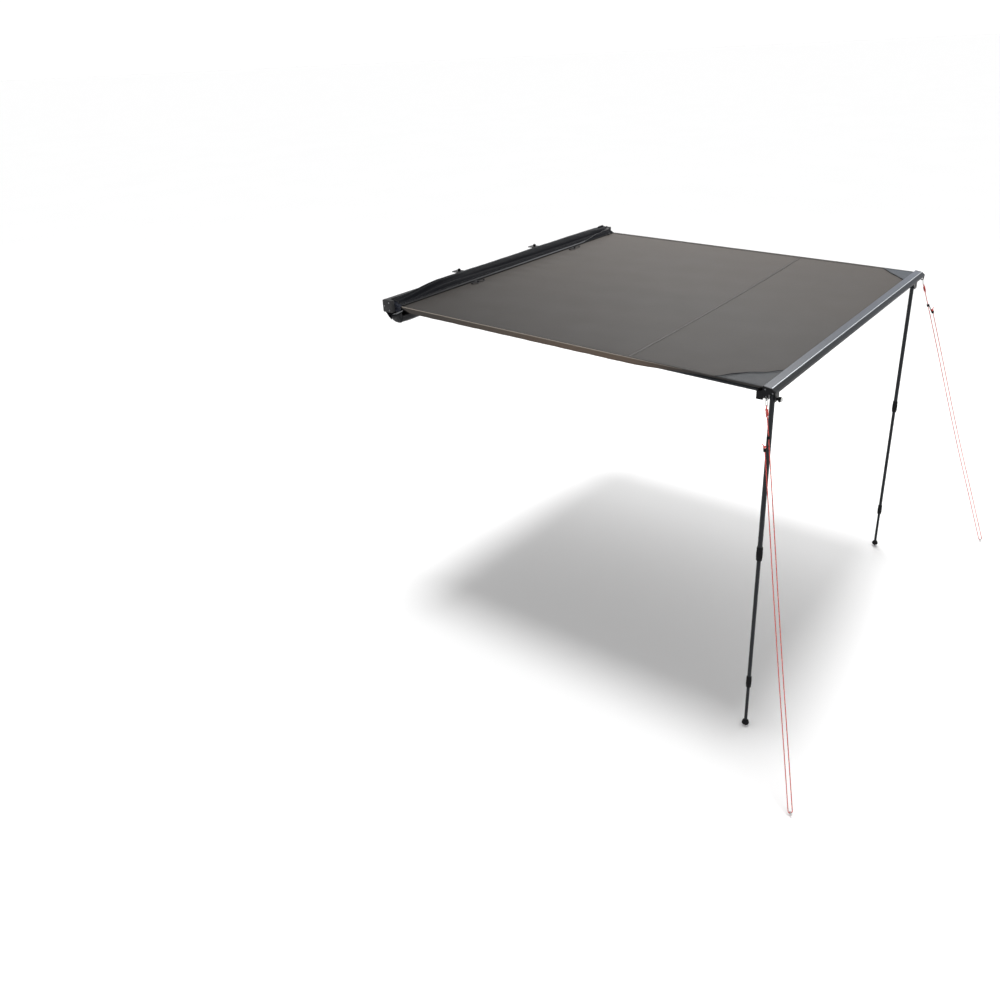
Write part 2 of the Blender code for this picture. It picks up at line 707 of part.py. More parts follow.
def front_rail():
    """The open channel along the canopy's outer edge, in which the folded legs lie."""
    body("rail", (0.0, RAIL_INNER, RAIL_TOP))
    slot = bead_slot(0.0, -RAIL_RISE - CANOPY_THICKNESS / 2, -1)
    front = -RAIL_WIDTH
    ridge = -RAIL_RIDGE_PLACE
    wall = RAIL_WALL
    outer = [(0.0, -0.0008), (-0.0010, 0.0)]
    outer += [(ridge + 0.0020, -0.0065), (ridge + 0.0010, -0.0050), (ridge - 0.0008, -0.0052)]
    outer += [(ridge - 0.0020, -0.0080), (front + 0.0060, -0.0130), (front + 0.0010, -0.0160)]
    outer += [(front, -0.0190), (front, -RAIL_FRONT_DEPTH), (front + wall, -RAIL_FRONT_DEPTH)]
    inner = [(front + wall, -0.0178), (front + 0.0069, -0.0146), (ridge - 0.0011, -0.0097)]
    inner += [(-0.0095, -0.0043), (-0.0086, -0.0136), (-wall, -0.0150)]
    inner += [(-wall, -RAIL_INNER_DEPTH + 0.002), (-0.0045, -RAIL_INNER_DEPTH + 0.002)]
    inner += [(-0.0045, -RAIL_INNER_DEPTH), (0.0, -RAIL_INNER_DEPTH)]
    outline = outer + inner + list(reversed(slot))
    place = (0.0, RAIL_INNER, RAIL_TOP)
    prism("front_rail", [outline], CANOPY_LENGTH, place, ALONG_X, "rail", RAIL_PAINT)


def rail_corner(end, side):
    """The casting on a rail's end: a cap, a lug for the guy rope and a socket for the arm's tip."""
    plate = CORNER_THICKNESS
    lug_y = RAIL_INNER - LEG_PLACE_IN_RAIL - side * LUG_OFFSET
    socket_z = arm_height(RAIL_INNER + SOCKET_DEPTH / 2)
    half = ARM_TIP_RADIUS + 0.0012
    wall = 0.003
    shelf_low = socket_z - half - wall
    shelf_high = socket_z + half + wall
    front = RAIL_INNER - RAIL_WIDTH
    bottom = RAIL_TOP - RAIL_FRONT_DEPTH
    inner_side = RAIL_INNER + SOCKET_DEPTH
    tongue = []
    for step in range(7):
        angle = math.pi + step * math.pi / 6
        tongue.append((lug_y + LUG_RADIUS * math.cos(angle), LUG_HEIGHT + LUG_RADIUS * math.sin(angle)))
    outline = [(RAIL_INNER, RAIL_TOP), (RAIL_INNER - RAIL_RIDGE_PLACE, RAIL_TOP - 0.006)]
    outline += [(front + 0.005, RAIL_TOP - 0.014), (front, RAIL_TOP - 0.019), (front, bottom)]
    outline.append((lug_y - LUG_RADIUS, bottom - 0.004))
    outline += tongue
    outline += [(lug_y + LUG_RADIUS + 0.001, bottom - 0.012), (RAIL_INNER - 0.002, shelf_low)]
    outline += [(inner_side, shelf_low), (inner_side, shelf_high), (RAIL_INNER, shelf_high + 0.004)]
    hole = circle(lug_y, LUG_HEIGHT, LUG_HOLE_RADIUS, 12)
    x = side * (HALF_LENGTH + FIT + plate / 2)
    cap = prism(f"rail_corner_{end}", [outline, hole], plate, (x, 0, 0), ALONG_X, "rail", BLACK_PLASTIC)
    cap = as_mesh(cap)
    inner = RAIL_INNER + FIT
    web = inner + CORNER_THICKNESS - FIT * 4
    channel = [(inner, shelf_low), (inner_side, shelf_low), (inner_side, shelf_low + wall)]
    channel += [(web, shelf_low + wall), (web, shelf_high - wall), (inner_side, shelf_high - wall)]
    channel += [(inner_side, shelf_high), (inner, shelf_high)]
    length = HALF_LENGTH - (ARM_PLACE - SOCKET_LENGTH / 2) + plate / 2
    middle = side * (HALF_LENGTH + plate / 2 - length / 2)
    socket = prism(f"arm_socket_{end}", [channel], length, (middle, 0, 0), ALONG_X, "rail", None)
    combine(cap, as_mesh(socket), "UNION")


def leg_hinge(end, side):
    """The bracket in the rail that carries a leg, its pin, and the knob that locks the leg."""
    x = side * (HALF_LENGTH - LEG_INSETS[end])
    gap = HINGE_CHEEK_GAP / 2
    outer = gap + HINGE_CHEEK_THICKNESS
    top = LEG_PIVOT_HEIGHT + KNUCKLE_RADIUS + 0.004
    shoulder = top - 0.004
    bottom = top - HINGE_HEIGHT
    web = top - 0.0028
    pad = LEG_PLACE_IN_RAIL - RAIL_WALL - FIT
    outline = [(-outer + 0.006, top), (-outer, shoulder), (-outer, bottom + 0.004), (-outer + 0.001, bottom)]
    outline += [(-gap, bottom), (-gap, web - 0.001), (-gap + 0.001, web), (gap - 0.001, web)]
    outline += [(gap, web - 0.001), (gap, bottom), (outer - 0.001, bottom), (outer, bottom + 0.004)]
    outline += [(outer, shoulder - 0.0045), (pad, shoulder - 0.0045), (pad, shoulder), (outer, shoulder)]
    outline.append((outer - 0.006, top))
    place = (x, LEG_LINE, 0)
    bracket = prism(f"leg_hinge_{end}", [outline], HINGE_LENGTH, place, ALONG_X, "rail", BLACK_STEEL)
    bracket = as_mesh(bracket)
    bore = LEG_PIN_RADIUS + FIT
    through = [(0.0, 0.03), (bore, 0.03), (bore, -0.03), (0.0, -0.03)]
    pivot = Vector((x, LEG_LINE, LEG_PIVOT_HEIGHT))
    pin_hole = turned(f"leg_pin_hole_{end}", through, pivot, (0, 1, 0), None, None)
    combine(bracket, pin_hole, "DIFFERENCE")
    knob_way = Vector((0, side, 0))
    knob = pivot - Vector((0, 0, KNOB_DROP))
    one_side = [(0.0, 0.03), (bore, 0.03), (bore, gap - 0.004), (0.0, gap - 0.004)]
    knob_hole = turned(f"leg_knob_hole_{end}", one_side, knob, knob_way, None, None)
    combine(bracket, knob_hole, "DIFFERENCE")
    head = outer + FIT
    rivet = head + 0.0016
    radius = LEG_PIN_RADIUS
    pin = [(0.0, rivet), (radius + 0.001, rivet), (radius + 0.0018, head), (radius, head), (radius, -head)]
    pin += [(radius + 0.0018, -head), (radius + 0.001, -rivet), (0.0, -rivet)]
    turned(f"leg_pin_{end}", pin, pivot, (0, 1, 0), "rail", BRIGHT_STEEL, steps=SMALL_STEPS)
    spin = f"{end}_leg_knob"
    body(spin, knob, "rail")
    grip = head + 0.004
    profile = [(0.0, grip + 0.014), (0.0070, grip + 0.014), (KNOB_RADIUS, grip + 0.011)]
    profile += [(KNOB_RADIUS, grip + 0.003), (0.0062, grip), (0.0046, grip), (0.0046, head), (radius, head)]
    profile += [(radius, gap - 0.0015), (0.0, gap - 0.0015)]
    turned(f"leg_knob_{end}", profile, knob, knob_way, spin, BLACK_PLASTIC)


def leg(end, side):
    """One leg: knuckle, three nesting tubes, two twist locks and a foot."""
    x = side * (HALF_LENGTH - LEG_INSETS[end])
    pivot = Vector((x, LEG_LINE, LEG_PIVOT_HEIGHT))
    down = Vector((0, 0, -1))
    upper = f"{end}_leg"
    body(upper, pivot, "rail")
    wide = HINGE_CHEEK_GAP / 2 - FIT * 2
    bore = LEG_PIN_RADIUS + FIT
    boss = [(KNUCKLE_RADIUS, wide), (KNUCKLE_RADIUS, -wide), (bore, -wide), (bore, wide)]
    knuckle = turned(f"leg_knuckle_{end}", boss, pivot, (0, 1, 0), upper, BLACK_PLASTIC, ring=True)
    plug_radius = LEG_UPPER_RADIUS - LEG_WALL - FIT
    shoulder = KNUCKLE_RADIUS + 0.003
    plug = [(0.0, 0.045), (plug_radius, 0.045), (plug_radius, shoulder), (LEG_UPPER_RADIUS, shoulder)]
    plug += [(LEG_UPPER_RADIUS, 0.0060), (0.0, 0.0060)]
    combine(knuckle, turned(f"leg_plug_{end}", plug, pivot, down, None, None), "UNION")

    upper_end = UPPER_LOCK_START + TUBE_IN_LOCK
    lower_end = LOWER_LOCK_START + TUBE_IN_LOCK
    pipe(
        f"leg_upper_tube_{end}",
        shoulder + FIT,
        upper_end,
        LEG_UPPER_RADIUS,
        LEG_WALL,
        pivot,
        down,
        upper,
        BLACK_TUBE,
    )
    lock = f"{end}_leg_upper_lock"
    place = pivot + down * upper_end
    body(lock, place, upper)
    lock_radius = LEG_UPPER_RADIUS + LOCK_WALL
    twist_lock(
        f"leg_upper_lock_{end}",
        UPPER_LOCK_LENGTH,
        lock_radius,
        LEG_UPPER_RADIUS,
        LEG_MIDDLE_RADIUS,
        place,
        down,
        lock,
    )
    middle = f"{end}_leg_middle"
    body(middle, pivot, upper)
    start = upper_end - MIDDLE_OVERLAP
    pipe(
        f"leg_middle_tube_{end}",
        start,
        lower_end,
        LEG_MIDDLE_RADIUS,
        LEG_WALL,
        pivot,
        down,
        middle,
        BLACK_TUBE,
    )
    lock = f"{end}_leg_lower_lock"
    place = pivot + down * lower_end
    body(lock, place, middle)
    lock_radius = LEG_MIDDLE_RADIUS + LOCK_WALL
    twist_lock(
        f"leg_lower_lock_{end}",
        LOWER_LOCK_LENGTH,
        lock_radius,
        LEG_MIDDLE_RADIUS,
        LEG_LOWER_RADIUS,
        place,
        down,
        lock,
    )
    lower = f"{end}_leg_lower"
    body(lower, pivot, middle)
    pipe(
        f"leg_lower_tube_{end}",
        FOOT_START - LOWER_TUBE_LENGTH,
        FOOT_START - FIT,
        LEG_LOWER_RADIUS,
        LEG_WALL,
        pivot,
        down,
        lower,
        BLACK_TUBE,
    )
    inside = LEG_LOWER_RADIUS - LEG_WALL - FIT
    sole = FOOT_START + FOOT_HEIGHT
    foot = [(0.0, sole + SPIKE_LENGTH), (0.0015, sole + SPIKE_LENGTH), (0.0050, sole), (FOOT_RADIUS, sole)]
    foot += [(FOOT_RADIUS, FOOT_START + 0.010), (0.0095, FOOT_START), (inside, FOOT_START)]
    foot += [(inside, FOOT_START - 0.020), (0.0, FOOT_START - 0.020)]
    turned(f"leg_foot_{end}", foot, pivot, down, lower, BLACK_PLASTIC)


def smooth_route(points, most):
    """Points read from a smooth curve through a route, closest together where it bends."""
    route = [Vector(point) for point in points]
    spans = len(route) - 1
    each = max(2, (most - 1) // spans)
    result = [route[0]]
    for index in range(spans):
        before = route[max(0, index - 1)]
        start, end = route[index], route[index + 1]
        after = route[min(spans, index + 2)]
        length = (end - start).length
        lead = (end - before) / ((start - before).length + length) * length
        trail = (after - start) / ((after - end).length + length) * length
        for step in range(1, each + 1):
            t = step / each
            point = start * (2 * t**3 - 3 * t**2 + 1) + lead * (t**3 - 2 * t**2 + t)
            point += end * (3 * t**2 - 2 * t**3) + trail * (t**3 - t**2)
            result.append(point)
    return result


def guy_frame(end, side):
    """Where a guy rope starts, the way it runs, and the way its strands lie side by side."""
    lug_y = LEG_LINE - side * LUG_OFFSET
    hole = Vector((side * (HALF_LENGTH + FIT + CORNER_THICKNESS / 2), lug_y, LUG_HEIGHT))
    run = PEG_OFFSETS[end].normalized()
    strand_side = STRAND_SIDE * side
    beside = (strand_side - run * strand_side.dot(run)).normalized()
    run = (PEG_OFFSETS[end] - beside * STRAND_GAP / 2).normalized()
    beside = (strand_side - run * strand_side.dot(run)).normalized()
    return hole, run, beside


def rope_route(end, side):
    """A guy rope's route: down from the clip, round the peg, and back up to the tensioner."""
    hole, run, beside = guy_frame(end, side)
    turn_radius = STRAND_GAP / 2
    distance = PEG_OFFSETS[end].dot(run)
    turn = distance + PEG_WIRE_RADIUS + ROPE_RADIUS + FIT * 2 - turn_radius
    start = CLIP_SEAT + CLIP_LENGTH - CLIP_WIRE_RADIUS + FIT
    upper = TENSIONER_PLACE
    lower = upper + TENSIONER_LENGTH
    sag_way = (Vector((0, 0, -1)) + run * run.z).normalized()

    def strand(along, across):
        share = max(0.0, (along - lower - 0.02) / (turn - lower - 0.02))
        sag = ROPE_SAG * math.sin(math.pi * min(1.0, share)) ** 2
        return hole + run * along + beside * across + sag_way * sag

    quarters = [lower + 0.02 + (turn - lower - 0.04) * step / 5 for step in range(1, 5)]
    points = [strand(along, 0.0) for along in [start, start + 0.03, upper, lower + 0.01] + quarters]
    points.append(strand(turn - 0.02, 0.0))
    for step in range(9):
        angle = math.pi * step / 8
        across = turn_radius * (1 - math.cos(angle))
        points.append(hole + run * (turn + turn_radius * math.sin(angle)) + beside * across)
    points.append(strand(turn - 0.02, STRAND_GAP))
    back = list(reversed(quarters)) + [lower + 0.02, lower - KNOT_TAIL]
    points += [strand(along, STRAND_GAP) for along in back]
    return points


def guy(end, side):
    """One guy rope with its clip, tensioner and peg."""
    hole, run, beside = guy_frame(end, side)
    carrier = f"{end}_guy"
    body(carrier, hole, "rail")
    half = CLIP_WIDTH / 2 - CLIP_WIRE_RADIUS
    width_way = (Vector((1, 0, 0)) - run * run.x).normalized()
    top = hole + run * CLIP_SEAT
    loop = []
    for centre, start in ((half, math.pi), (CLIP_LENGTH - 2 * CLIP_WIRE_RADIUS - half, 0.0)):
        for step in range(9):
            angle = start + step * math.pi / 8
            along = centre + half * math.sin(angle)
            loop.append(top + run * along + width_way * half * math.cos(angle))
    wire(f"rope_clip_{end}", loop, CLIP_WIRE_RADIUS, carrier, BRIGHT_STEEL, ring=True)
    wire(f"guy_rope_{end}", smooth_route(rope_route(end, side), 78), ROPE_RADIUS, carrier, RED_ROPE)

    upper = hole + run * TENSIONER_PLACE
    lower = upper + run * TENSIONER_LENGTH + beside * STRAND_GAP
    sleeve = TENSIONER_SLEEVE
    tall = 0.006
    ring = [(sleeve, tall), (sleeve, -tall), (TENSIONER_BORE, -tall), (TENSIONER_BORE, tall)]
    tensioner = turned(f"tensioner_{end}", ring, upper, run, carrier, BLACK_PLASTIC, ring=True)
    eye = turned(f"tensioner_eye_{end}", ring, lower, run, None, None, ring=True)
    combine(tensioner, eye, "UNION")
    bar_radius = 0.0022
    in_wall = TENSIONER_BORE + bar_radius + 0.0002
    start = upper + beside * in_wall - run * 0.004
    end_point = lower - beside * in_wall + run * 0.004
    half = (end_point - start).length / 2
    strut = [(0.0, half), (bar_radius, half), (bar_radius, -half), (0.0, -half)]
    middle = (start + end_point) / 2
    bar = turned(f"tensioner_bar_{end}", strut, middle, end_point - start, None, None, steps=10)
    combine(tensioner, bar, "UNION")

    normal = run.cross(beside)
    hook_way = Vector((normal.x, normal.y, 0.0)).normalized()
    away = Vector((run.x, run.y, 0.0)).normalized()
    if hook_way.dot(away) < 0:
        hook_way = -hook_way
    pull = (hook_way * run.dot(hook_way) + Vector((0, 0, run.z))).normalized()
    across = hook_way * -pull.z + Vector((0, 0, 1)) * pull.dot(hook_way)
    centre = hole + PEG_OFFSETS[end] + pull * PEG_HOOK_RADIUS
    lean = -hook_way * PEG_LEAN
    points = []
    for step in range(11):
        angle = -math.pi / 10 + step * math.pi * 1.2 / 10
        sideways = across * PEG_HOOK_RADIUS * math.cos(angle)
        points.append(centre + sideways - pull * PEG_HOOK_RADIUS * math.sin(angle))
    shaft = (points[-1] - points[-2]).normalized()
    points.append(points[-1] + shaft * 0.012)
    points.append(points[-1] + (Vector((0, 0, -1)) + lean).normalized() * PEG_DEPTH)
    wire(f"peg_{end}", points, PEG_WIRE_RADIUS, carrier, BRIGHT_STEEL)


clear_scene()
parts = new_collection("vehicle_side_awning")
cutters = new_collection("cutters")
ALUMINIUM = finish("dark_aluminium", (0.10, 0.105, 0.11), 0.45, 0.6)
RAIL_PAINT = finish("rail_paint", (0.15, 0.165, 0.19), 0.42, 0.5)
BLACK_TUBE = finish("black_tube", (0.025, 0.027, 0.030), 0.40, 0.6)
BLACK_STEEL = finish("black_steel", (0.02, 0.02, 0.022), 0.50, 0.5)
BLACK_PLASTIC = finish("black_plastic", (0.022, 0.022, 0.024), 0.55)
BRIGHT_STEEL = finish("bright_steel", (0.60, 0.60, 0.58), 0.30, 1.0)
BAG_FABRIC = finish("bag_fabric", (0.018, 0.019, 0.022), 0.50)
CANOPY_FABRIC = finish("canopy_fabric", (0.22, 0.20, 0.18), 0.80)
PATCH_FABRIC = finish("patch_fabric", (0.07, 0.075, 0.085), 0.75)
RED_ROPE = finish("red_rope", (0.70, 0.06, 0.05), 0.70)

front_rail()
back_plate()
end_caps()
mounting_brackets()
bag()
zip_slider()
tie_loops()
canopy()
corner_patches()
for end_name, end_side in SIDES.items():
    arm(end_name, end_side)
    rail_corner(end_name, end_side)
    leg_hinge(end_name, end_side)
    leg(end_name, end_side)
    guy(end_name, end_side)
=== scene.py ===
"""The finished look of a vehicle side awning, dressed over its frame.

Each operator makes one piece or one group of like pieces: the stretched canopy with its hems and
seams, the corner patches, the bag with its zip, the tie loops, the guy ropes, and the small trim on
the rail, the arms and the legs. The rigid pieces come from the frame and get their finishes here.
Metres, +Z up. +X runs along the plate to its far end and -Y out from it to the front rail.
"""

import json
import math

import bpy
from bpy.props import FloatProperty, FloatVectorProperty, PointerProperty
from mathutils import Matrix, Vector, noise


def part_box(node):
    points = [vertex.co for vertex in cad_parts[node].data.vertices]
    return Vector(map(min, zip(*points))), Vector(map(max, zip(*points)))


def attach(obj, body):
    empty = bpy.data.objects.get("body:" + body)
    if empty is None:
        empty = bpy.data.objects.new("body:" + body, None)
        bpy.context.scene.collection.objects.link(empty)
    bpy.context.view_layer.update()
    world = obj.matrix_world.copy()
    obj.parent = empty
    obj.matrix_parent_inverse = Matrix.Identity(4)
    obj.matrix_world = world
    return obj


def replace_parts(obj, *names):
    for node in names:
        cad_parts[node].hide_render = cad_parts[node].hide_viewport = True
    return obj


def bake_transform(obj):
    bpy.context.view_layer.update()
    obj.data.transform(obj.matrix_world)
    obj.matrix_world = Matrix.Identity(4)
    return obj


bl_info = {
    "name": "Vehicle Side Awning",
    "version": (1, 0, 0),
    "blender": (4, 5, 0),
    "location": "View3D > Sidebar > Awning",
    "description": "Dresses the awning's frame with its cloth, bag, ropes and finishes",
    "category": "Object",
}

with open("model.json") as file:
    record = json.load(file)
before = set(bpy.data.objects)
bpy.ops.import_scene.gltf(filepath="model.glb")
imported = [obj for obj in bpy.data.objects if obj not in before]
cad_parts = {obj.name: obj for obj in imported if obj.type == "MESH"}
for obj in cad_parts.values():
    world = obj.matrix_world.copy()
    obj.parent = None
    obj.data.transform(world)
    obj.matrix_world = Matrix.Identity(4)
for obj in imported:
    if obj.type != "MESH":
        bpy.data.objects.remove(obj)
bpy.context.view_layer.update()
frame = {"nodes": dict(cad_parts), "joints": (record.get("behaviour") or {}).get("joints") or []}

SIDES = {"near": -1, "far": 1}
TURN = 2 * math.pi
UP = Vector((0, 0, 1))

# Places that the frame gives
RAIL_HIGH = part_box("front_rail")[1]
PLATE_LOW, PLATE_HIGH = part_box("back_plate")
COVER_LOW, COVER_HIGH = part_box("bag_cover")
FLAP_LOW, FLAP_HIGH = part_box("bag_lower_flap")
HALF_LENGTH = RAIL_HIGH.x
RAIL_INNER = RAIL_HIGH.y
RAIL_TOP = RAIL_HIGH.z
PLATE_FRONT = PLATE_LOW.y
COVER_FRONT = COVER_LOW.y
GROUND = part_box("leg_foot_near")[0].z

# The canopy, which lies where the frame's plain one does
CANOPY_OUTREACH = COVER_FRONT - RAIL_INNER
CANOPY_FALL = -RAIL_TOP + 0.009
CANOPY_SLOPE = CANOPY_FALL / CANOPY_OUTREACH
CANOPY_THICKNESS = 0.0009
CANOPY_COLUMNS = 128
CANOPY_ROWS = 124
BAG_ROWS = 8
HEM_STEPS = 150
PATCH_STEPS = 30
END_INSET = 0.0008
CLOTH_TUCK = 0.0030
DOUBLED_CLOTH = 0.0004
BEAD_HEIGHT = 0.0108
BEAD_DEPTH = 0.0037
BEAD_RADIUS = 0.0021
RIDGE_PLACE = 0.0335
SEAM_WIDTH = 0.014
SEAM_INSET = 0.004
SEAM_STITCH_PLACE = 0.0045
PUCKER_PITCH = 0.037
PUCKER_HEIGHT = 0.00045
HEM_INSET = 0.0004
FOLD_RADIUS = 0.0019
FOLD_TAPER = 0.40
SEAM_SKEW = 0.020

# The canopy's ripples: the height of each, and how it turns along the plate and out to the rail
RIPPLES = ((0.0005, 7.0, 4.0), (0.0004, 23.0, -9.0))
RIPPLE_LOWERING = 0.0003
GATHER_HEIGHT = 0.0006
GATHER_PLACE = 0.035
GATHER_WIDTH = 0.045

# Where the side hems are drawn up, from the rail's edge and from the bag's, and the shares left there
HEM_DRAWN_UP_AT = 0.21
HEM_DRAWN_UP_OVER = 0.34
HEM_LEAST_BY_RAIL = 0.13
HEM_LEAST_BY_BAG = 0.22
HEM_BAG_REACH = 0.070

# The bag: its cloth, its zip, and the roll and the tabs at its ends
BAG_THICKNESS = 0.0018
BAG_COLUMNS = 260
FLAP_COLUMNS = 200
ZIP_SHARE = 0.985
ZIP_CLIMB = 0.31
ZIP_CLIMB_RANGE = (0.60, 1.02)
ZIP_TOOTH = Vector((0.0018, 0.0024, 0.0016))
ZIP_TEETH = 620
ZIP_INSET = 0.010
FAR_STITCHES_FROM = 0.655
FAR_TAB_RADIUS = 0.0062
FAR_ROLL_LENGTH = 0.105
FAR_ROLL_RADIUS = 0.0062
ZIP_END_START = 0.058
ZIP_END_LENGTH = 0.054
END_TAB_INNER = 0.9895
END_TAB_DROP = 0.0500

# The cover's edges: how far the rear one lies out from the plate's rear face, and is drawn further
# out where the cover isn't open, and how far the front one lies behind the bag's front and above
# the canopy
COVER_REAR_INSET = 0.0034
COVER_REAR_DRAWN = 0.0240
COVER_FRONT_INSET = 0.0022
COVER_FRONT_LEVEL = 0.0050

# The cover's folds. The ranges are places along the plate, and the other places and widths are
# shares of the way from the cover's rear edge to its front one.
COVER_OPENS = (-0.96, -0.62)
COVER_GATHERS = (-0.25, -0.85)
COVER_ROLLS = (0.70, 0.95)
PLEATS = 3.2
PLEAT_HEIGHT = 0.0066
ROLLS = 2.4
ROLL_HEIGHT = 0.0042
VALLEY_PLACE = 0.72
VALLEY_WIDTH = 0.055
VALLEY_DEPTH = 0.0062
SWELL_PLACE = 0.87
SWELL_WIDTH = 0.07
SWELL_HEIGHT = 0.0034
# Each layer of crumples: its height, how close they lie along and over the cover, and its noise's slice
COVER_CRUMPLES = ((0.0020, 5.0, 3.0, 1.7), (0.0010, 19.0, 6.0, 4.1))

# The lower flap's gathers and creases, and how its ends are lifted and drawn in
FLAP_GATHER_HEIGHT = 0.0035
FLAP_CREASE_HEIGHT = 0.0018
FLAP_END_LIFT = 0.008
FLAP_END_DRAWN = 0.06

# The tie loops
TIE_WIDTH = 0.0072
TIE_THICKNESS = 0.0018
BAND_STEPS = 48
BAND_OFFSET = 0.0275
BAND_HALF_WIDTH = 0.0250
BAND_REACH = 0.36
TOGGLE_LENGTH = 0.009

# Sewing
STITCH_LENGTH = 0.0042
STITCH_GAP = 0.0020
STITCH_SIDES = 6
# Places along a stitch, with the share of its thickness at each
STITCH_SHAPE = ((0.0, 0.35), (0.25, 1.0), (0.75, 1.0), (1.0, 0.35))
THREAD_RADIUS = 0.00045
SEAM_THREAD_RADIUS = 0.0006
BAG_THREAD_RADIUS = 0.0005

# Pitches of the weaves, the ribs, the braid and its flecks, for the finishes
CANOPY_THREAD = 0.0011
PATCH_THREAD = 0.0016
BAG_THREAD = 0.0014
ZIP_RIB = 0.0012
BAND_RIB = 0.0022
PIPING_RIB = 0.0016
BRAID_PITCH = 0.0052
FLECK_PITCH = 0.0210

# Guy ropes, whose routes are those of the frame's plain ones
ROPE_RADIUS = 0.0020
STRAND_GAP = 0.017
CLIP_SEAT = 0.0016
CLIP_LENGTH = 0.040
CLIP_WIRE_RADIUS = 0.0018
TENSIONER_PLACE = 0.157
TENSIONER_LENGTH = 0.046
PEG_WIRE_RADIUS = 0.0025
ROPE_SAG = 0.006
ROPE_STEP = 0.0026
BRAID_RELIEF = 2 * BRAID_PITCH
STRAIGHT_END = 0.02
WRAP_RADIUS = ROPE_RADIUS * 2.05
KNOT_TURNS = 6
KNOT_STEPS = 14
KNOT_START = 0.0075
KNOT_TAIL = 0.014
STOPPER_TURNS = 2.1
STOPPER_OFFSET = 0.0125
FIT = 0.0003
STRAND_SIDE = Vector((0.615, -0.787, 0.0))
PEG_OFFSETS = {"near": Vector((-0.327, -0.365, -1.596)), "far": Vector((0.259, -0.483, -1.596))}

# The rigid pieces: the arms' way under the sloping canopy, the knobs' ribs, and the shading's limits
ARM_WAY = Vector((0, 0.99978, 0.02105))
KNOB_RIBS = 18
WELD_DISTANCE = 0.000002
METAL_EDGE_ANGLE = 32
CLOTH_EDGE_ANGLE = 50

# The photograph's camera
CAMERA_PLACE = (-3.931, -3.169, 1.186)
CAMERA_RIGHT = (0.61507, -0.78729, -0.04320)
CAMERA_DOWN = (-0.34210, -0.21711, -0.91424)
CAMERA_FORWARD = (0.71039, 0.57710, -0.40287)
CAMERA_LENS = 31.13
CAMERA_SENSOR = 36.0
CAMERA_SHIFT = (-0.0132, -0.0764)
CAMERA_REACH = 200.0

# Studio light: the sky fades from its low strength to its high one between two heights of view
SKY_LOW = 1.06
SKY_TOP = 0.41
SKY_FADES = (0.12, 0.50)
OVERHEAD_STRENGTH = 1.9
OVERHEAD_WIDTH = 16
OVERHEAD_FROM = (0.04, 0.05, 1.0)
FLOOR_REACH = 300.0

# Each soft panel's place, the point that it faces, its width and its watts
PANELS = {
    "high_panel": ((2.8, -0.5, 3.2), (0.6, -1.0, 0.0), 2.4, 120.0),
    "far_panel": ((6.5, 3.6, 3.2), (0.2, -1.0, -0.2), 4.0, 60.0),
    "front_panel": ((-4.5, -6.5, 2.6), (0.0, -1.6, -0.5), 3.0, 50.0),
}


class AwningColours(bpy.types.PropertyGroup):
    """The colours that a user would change, as linear values."""

    canopy: FloatVectorProperty(
        name="Canopy", description="Stretched cloth", default=(0.0450, 0.0388, 0.0343), subtype="COLOR"
    )
    # The near edge fold's light colour is a painted highlight along its rounded top.
    edge_fold_and_highlight: FloatVectorProperty(
        name="Edge fold",
        description="Light fold along the near edge",
        default=(0.27, 0.24, 0.205),
        subtype="COLOR",
    )
    patch: FloatVectorProperty(
        name="Corner patch",
        description="Sewn corner triangles",
        default=(0.024, 0.029, 0.036),
        subtype="COLOR",
    )
    bag: FloatVectorProperty(
        name="Bag", description="Bag cover and lower flap", default=(0.0042, 0.0046, 0.0062), subtype="COLOR"
    )
    zip_tape: FloatVectorProperty(
        name="Zip tape",
        description="Tape along the cover's front edge",
        default=(0.115, 0.119, 0.125),
        subtype="COLOR",
    )
    rail: FloatVectorProperty(
        name="Rail", description="Front rail's paint", default=(0.074, 0.084, 0.104), subtype="COLOR"
    )
    tube: FloatVectorProperty(
        name="Tube", description="Legs and arms", default=(0.010, 0.012, 0.015), subtype="COLOR"
    )
    rope: FloatVectorProperty(
        name="Rope", description="Guy ropes' main colour", default=(0.80, 0.070, 0.050), subtype="COLOR"
    )
    floor: FloatVectorProperty(
        name="Floor", description="Studio floor", default=(0.93, 0.93, 0.93), subtype="COLOR"
    )


class AwningSizes(bpy.types.PropertyGroup):
    """The sizes that a user would change."""

    sag: FloatProperty(
        name="Canopy sag", description="Drop in the canopy's middle", default=0.012, unit="LENGTH"
    )
    hem_drop: FloatProperty(
        name="Hem drop", description="Depth of the side hems", default=0.024, unit="LENGTH"
    )
    seam_outreach: FloatProperty(
        name="Seam outreach", description="From the bag to the cross seam", default=1.290, unit="LENGTH"
    )
    crown: FloatProperty(
        name="Cover crown", description="Rise of the bag's cover", default=0.031, unit="LENGTH"
    )
    wrap_pitch: FloatProperty(
        name="Knot pitch", description="Rise of one turn in the ropes' knots", default=0.0044, unit="LENGTH"
    )


class Signal:
    """A number, colour or vector in a finish. Python's operators on it add Math nodes."""

    def __init__(self, finish, socket):
        self.finish = finish
        self.socket = socket

    def math(self, operation, *values):
        sockets = dict(enumerate(values))
        return self.finish.node("ShaderNodeMath", {"operation": operation}, sockets)

    def __add__(self, other):
        return self.math("ADD", self, other)

    def __radd__(self, other):
        return self.math("ADD", other, self)

    def __sub__(self, other):
        return self.math("SUBTRACT", self, other)

    def __rsub__(self, other):
        return self.math("SUBTRACT", other, self)

    def __mul__(self, other):
        return self.math("MULTIPLY", self, other)

    def __rmul__(self, other):
        return self.math("MULTIPLY", other, self)

    def __gt__(self, other):
        return self.math("GREATER_THAN", self, other)

    def __lt__(self, other):
        return self.math("LESS_THAN", self, other)

    def sine(self):
        return self.math("SINE", self)

    def at_most(self, limit):
        return self.math("MINIMUM", self, limit)


